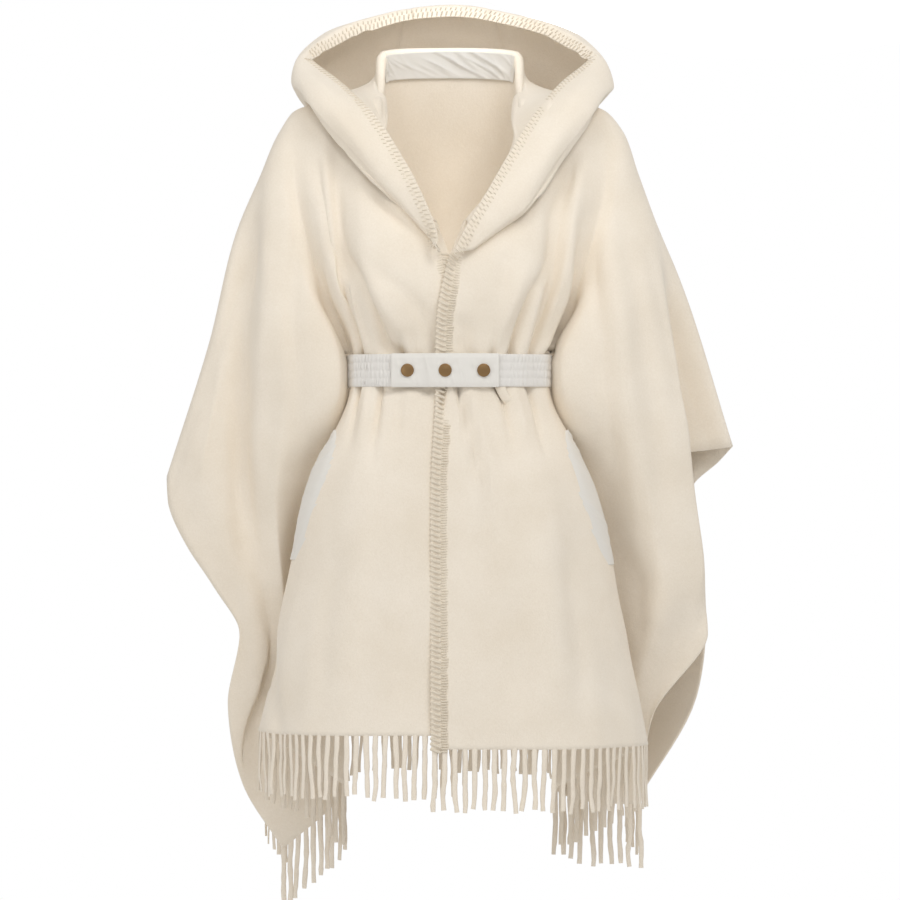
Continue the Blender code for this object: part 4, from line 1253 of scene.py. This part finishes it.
def evenly(line, step, closed=False):
    """The points of a smooth line at even distances along it, and how far along each is."""
    line = np.asarray(line, float)
    if closed:
        line = np.vstack((line, line[:1]))
    smooth = smooth_line(line, stations(len(line) - 1, 12))
    gone = along(np.linalg.norm(np.diff(smooth, axis=0), axis=1))
    places = np.linspace(0, gone[-1], int(gone[-1] / step), endpoint=not closed)
    return np.column_stack([np.interp(places, gone, part) for part in smooth.T]), places


def belt_rows(height, count):
    """The heights of a band's rows from its top down, and how far down each is as a share."""
    heights = np.linspace(BELT_MIDDLE + height / 2, BELT_MIDDLE - height / 2, count)
    return heights, np.linspace(0, 1, count)


def upright(line, heights, sag):
    """A band of points along a line seen from above, pushed out by sag, with its way out."""
    ahead = np.gradient(line, axis=0)
    outward = unit(np.column_stack((ahead[:, 1], -ahead[:, 0])))
    points = np.empty((len(line), len(heights), 3))
    points[..., :2] = line[:, None, :2] + outward[:, None] * sag[..., None]
    points[..., 2] = heights
    return points


class CAPE_OT_belt(bpy.types.Operator):
    """Make the gathered elastic belt, its overlap tab and the wool loop beside it"""

    bl_idname = "cape.belt"
    bl_label = "Belt"

    def execute(self, context):
        sizes = context.scene.cape_sizes
        shapes = Cape.shape(sizes)
        rng = np.random.default_rng(14)
        thick = sizes.belt_thick / MM
        line = belt_front(shapes, sizes.wool / 2 / MM + BELT_CLEAR + thick / 2)
        inside = np.array(BELT_INSIDE, float)
        ring = np.vstack((line[:, :2], inside[:-1], (inside * (-1, 1))[::-1]))
        path, gone = evenly(ring, 0.9, closed=True)
        heights, share = belt_rows(sizes.belt_height / MM, 36)
        channel = np.abs(np.sin(math.pi * sizes.belt_channels * share)) ** 0.7
        loose = np.interp(path[:, 0], (-120, -72, 58, 120), (1.7, 1.5, 0.7, 0.8))
        sag = np.zeros((len(path), len(heights)))
        for row in range(sizes.belt_channels):
            inside_row = (share >= row / sizes.belt_channels) & (share <= (row + 1) / sizes.belt_channels)
            wrinkles = np.zeros(len(path))
            for _ in range(7):
                wrinkles += np.sin(gone * 2 * math.pi / rng.uniform(2.6, 6.5) + rng.uniform(0, 6.3))
            sag += np.outer(wrinkles * loose * 0.16, inside_row * channel)
        common = np.zeros(len(path))
        for _ in range(6):
            common += np.sin(gone * 2 * math.pi / rng.uniform(3.5, 8) + rng.uniform(0, 6.3))
        sag += np.outer(common * loose * 0.10, np.ones(len(heights))) + 0.75 * channel - 0.3
        points = upright(path, heights, sag)
        sew("belt_elastic_band", points, points * (1, 1, 0), thick - 0.6, "elastic", "belt_elastic",
            "belt_band", closed=True)
        self.tab(sizes, shapes, thick)
        self.keeper(sizes, shapes)
        return {"FINISHED"}

    def tab(self, sizes, shapes, thick):
        """The smooth end of the belt that lies over the other one."""
        lift = sizes.wool / 2 / MM + BELT_CLEAR + thick + TAB_CLEAR + TAB_THICK / 2
        path = evenly(belt_front(shapes, lift)[:, :2], 0.8)[0]
        path = path[(path[:, 0] > TAB_ENDS[0]) & (path[:, 0] < TAB_ENDS[1])]
        heights, share = belt_rows(sizes.tab_height / MM, 44)
        puffed = 1.0 * np.minimum(rise(share, 0, 0.14), rise(share, 1, 0.86))
        sag = np.tile(puffed, (len(path), 1)) + puckers(len(heights), len(path), 0.55, 41, 0.5, 22).T
        x = path[:, 0][:, None]
        for place in SNAP_PLACES:
            far = np.hypot(x - place, heights[None] - WAIST_HEIGHT)
            sag -= 0.5 * np.exp(-((far / 12) ** 2))
            rays = np.cos(7 * np.arctan2(heights[None] - WAIST_HEIGHT, x - place))
            sag += 0.22 * rays * np.exp(-(((far - 14) / 5) ** 2))
        sew("belt_overlap_tab", upright(path, heights, sag), FORWARD, TAB_THICK - 0.5, "nylon",
            "white_nylon", "belt_tab")

    def keeper(self, sizes, shapes):
        """The small loop of wool that holds the belt up, which shows slanting out under it."""
        sheet = shapes["left"]
        table = []
        for x, z, lift in KEEPER_LINE:
            table.append(sheet.in_front(x, z) * (0, 1, 0) + (x, -lift, z))
        spine = smooth_line(table, np.linspace(0, len(table) - 1, 22))
        across = np.linspace(-5.5, 5.5, 9)
        points = spine[None] + across[:, None, None] * (1, 0, 0.12)
        points[..., 1] += (across[:, None] / 5.5) ** 2 * 0.9
        sew("belt_keeper", points, FORWARD, 2.2, "wool", "ivory_wool")


class CAPE_OT_snaps(bpy.types.Operator):
    """Make the domed caps of the three snaps"""

    bl_idname = "cape.snaps"
    bl_label = "Snaps"

    def execute(self, context):
        sizes = context.scene.cape_sizes
        radius = sizes.snap_radius / MM
        profile = ((radius, -0.2), (radius + 0.15, 0.6), (radius - 0.05, 1.2), (radius - 0.5, 1.55),
                   (radius - 1.0, 1.6), (radius - 1.4, 1.5), (radius - 1.8, 1.5), (radius - 2.6, 1.68),
                   (3.6, 1.92), (1.8, 2.05))
        sides = 40
        for number in (1, 2, 3):
            low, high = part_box("snap_%d" % number)
            spot = np.array((low + high) / 2) / MM
            outward = unit(spot * (0.35, 1, 0))
            spot[1] = high[1] / MM - 0.9
            spot[2] = BELT_MIDDLE
            across = unit(np.cross((0, 0, 1), outward))
            up = np.cross(outward, across)
            points = [spot + (across * math.cos(a) + up * math.sin(a)) * reach + outward * tall
                      for reach, tall in profile for a in np.arange(sides) * 2 * math.pi / sides]
            points += [spot + outward * 2.2, spot - outward * 0.2]
            faces = []
            last = (len(profile) - 1) * sides
            for i in range(sides):
                j = (i + 1) % sides
                faces += [(k * sides + i, k * sides + j, (k + 1) * sides + j, (k + 1) * sides + i)
                          for k in range(len(profile) - 1)]
                faces += [(last + i, last + j, len(points) - 2), (j, i, len(points) - 1)]
            cap = link("snap_cap_%d" % number, points, faces, finish_of("brass"))
            seat(cap, "antique_brass", "snap_%d" % number)
        return {"FINISHED"}


class CAPE_OT_stitches(bpy.types.Operator):
    """Bind the front edges and the hood's rim with yarn"""

    bl_idname = "cape.stitches"
    bl_label = "Binding stitches"

    def execute(self, context):
        sizes = context.scene.cape_sizes
        shapes = Cape.shape(sizes)
        half = sizes.wool / 2 / MM
        rim = shapes["hood"]
        lines = {}
        for side, name in ((-1, "right"), (1, "left")):
            sheet = shapes[name]
            keep = sheet.down > BOUND_FROM
            lines["front_" + name] = (sheet.points[0, keep], sheet.normals[0, keep], sheet.points[2, keep],
                                      FRONT_STITCH, sizes.stitch_pitch)
        lines["hood_rim"] = (rim.points[:, -1], rim.normals[:, -1], rim.points[:, -3],
                             RIM_STITCH, sizes.rim_pitch)
        for seed, (name, (line, outward, inner, stitch, pitch)) in enumerate(lines.items()):
            inward = inner - line
            handed = (np.cross(outward[1:], np.diff(line, axis=0)) * inward[1:]).sum()
            if handed < 0:
                line, outward = line[::-1], outward[::-1]
            guide = rail("stitches_" + name, line + outward * half, outward)
            lying = 0.2 if name == "front_right" else 1.0
            legs = {}
            for leg, (size, *ends) in enumerate(stitch):
                legs["Leg_%d_Size" % leg] = size
                for part, point in zip(("Start", "Bow", "End"), ends):
                    legs["Leg_%d_%s" % (leg, part)] = tuple(np.array(point) * (MM, MM, MM * lying))
            tree = stitch_tree("binding_" + name, len(stitch))
            piece = tree.grow("stitches_" + name, guide, Pitch=pitch, Yarn=sizes.yarn / 2, Unevenness=0.06,
                              Seed=seed, Material=finish_of("yarn"), **legs)
            seat(piece, "ivory_wool")
        return {"FINISHED"}


class CAPE_OT_fringes(bpy.types.Operator):
    """Hang the strands of the fringe from the three hems"""

    bl_idname = "cape.fringes"
    bl_label = "Fringes"

    def execute(self, context):
        sizes = context.scene.cape_sizes
        shapes = Cape.shape(sizes)
        tree = fringe_tree()
        for seed, name in enumerate(("right", "left", "back")):
            sheet = shapes[name]
            line = sheet.points[:, -1] + (0, 0, 1.0)
            outward = unit(sheet.normals[:, -1] * (1, 1, 0))
            guide = rail("strands_" + name, line[1:-1], outward[1:-1])
            piece = tree.grow("strands_" + name, guide, Pitch=sizes.strand_pitch, Width=sizes.strand_width,
                              Thickness=sizes.wool, Length=sizes.strand_length, Sway=0.013, Lean=0.032,
                              Seed=seed * 5, Material=finish_of("wool"))
            node = "fringe_back" if name == "back" else "fringe_front_" + name
            seat(piece, "ivory_wool", node)
        return {"FINISHED"}


class CAPE_OT_cuts(bpy.types.Operator):
    """An empty step: it returns at once and states no cuts of cloth"""

    bl_idname = "cape.cuts"
    bl_label = "Cuts of cloth"

    def execute(self, context):
        return {"FINISHED"}


class CAPE_OT_stage(bpy.types.Operator):
    """Set up the floor, the lights and the camera"""

    bl_idname = "cape.stage"
    bl_label = "Floor, lights and camera"

    def execute(self, context):
        scene = context.scene
        bpy.ops.mesh.primitive_circle_add(vertices=96, radius=5.0, fill_type="NGON",
                                          location=(0, 0, FLOOR_HEIGHT))
        floor = context.active_object
        floor.name = "floor"
        pale = Finish("pale_floor", Roughness=0.9)
        grain = pale.noise(pale.place(), 3.0)
        tone = pale.colours(grain, shade(WHITE, 0.86), shade(WHITE, 0.9))
        floor.data.materials.append(pale.paint(tone))
        for name, kind, place, target, size, power, tone, seen in LAMPS:
            lamp = bpy.data.lights.new(name, kind)
            lamp.energy = power
            lamp.color = tone
            if kind == "AREA":
                lamp.shape = "DISK"
                lamp.size = size
            else:
                lamp.shadow_soft_size = size
            if kind == "SPOT":
                lamp.spot_size = math.radians(13)
                lamp.spot_blend = 1.0
            holder = put(name, lamp)
            holder.location = place
            aim = mathutils.Vector(target) - mathutils.Vector(place)
            holder.rotation_euler = aim.to_track_quat("-Z", "Y").to_euler()
            holder.visible_camera = seen
            if name == "hood":
                holder.light_linking.receiver_collection = bpy.data.collections.new(HOOD_CLOTH)
        world = bpy.data.worlds.new("studio")
        world.use_nodes = True
        nodes = world.node_tree.nodes
        links = world.node_tree.links
        room = nodes["Background"]
        wall = nodes.new("ShaderNodeBackground")
        seen = nodes.new("ShaderNodeMixShader")
        for shader, light in ((room, ROOM_LIGHT), (wall, WALL_LIGHT)):
            shader.inputs["Color"].default_value = (*WHITE, 1.0)
            shader.inputs["Strength"].default_value = light
        links.new(nodes.new("ShaderNodeLightPath").outputs["Is Camera Ray"], seen.inputs[0])
        links.new(room.outputs[0], seen.inputs[1])
        links.new(wall.outputs[0], seen.inputs[2])
        links.new(seen.outputs[0], nodes["World Output"].inputs["Surface"])
        scene.world = world
        scene.view_settings.view_transform = "Standard"
        lens = bpy.data.cameras.new("camera")
        lens.lens = LENS
        lens.sensor_width = SENSOR
        camera = put("camera", lens)
        camera.location = CAMERA_PLACE
        camera.rotation_euler = (math.pi / 2, 0, 0)
        scene.camera = camera
        return {"FINISHED"}


PIECES = (CAPE_OT_fronts, CAPE_OT_back, CAPE_OT_hood, CAPE_OT_facings, CAPE_OT_belt, CAPE_OT_snaps,
          CAPE_OT_stitches, CAPE_OT_fringes, CAPE_OT_cuts, CAPE_OT_stage)


class CAPE_PT_panel(bpy.types.Panel):
    """Sizes, colours and pieces of the cape"""

    bl_idname = "CAPE_PT_panel"
    bl_label = "Hooded cape"
    bl_space_type = "VIEW_3D"
    bl_region_type = "UI"
    bl_category = "Cape"

    def draw(self, context):
        layout = self.layout
        for group in (context.scene.cape_sizes, context.scene.cape_colours):
            box = layout.box()
            for name in group.bl_rna.properties.keys():
                if name not in ("rna_type", "name"):
                    box.prop(group, name)
        for piece in PIECES:
            layout.operator(piece.bl_idname)


CLASSES = (CapeSizes, CapeColours, *PIECES, CAPE_PT_panel)


def register():
    for group in CLASSES:
        bpy.utils.register_class(group)
    bpy.types.Scene.cape_sizes = PointerProperty(type=CapeSizes)
    bpy.types.Scene.cape_colours = PointerProperty(type=CapeColours)


def unregister():
    del bpy.types.Scene.cape_colours
    del bpy.types.Scene.cape_sizes
    for group in reversed(CLASSES):
        bpy.utils.unregister_class(group)


def main():
    register()
    for step in (bpy.ops.cape.stage, bpy.ops.cape.fronts, bpy.ops.cape.back, bpy.ops.cape.hood,
                 bpy.ops.cape.facings, bpy.ops.cape.belt, bpy.ops.cape.snaps, bpy.ops.cape.stitches,
                 bpy.ops.cape.fringes, bpy.ops.cape.cuts):
        step()


if __name__ == "__main__":
    main()
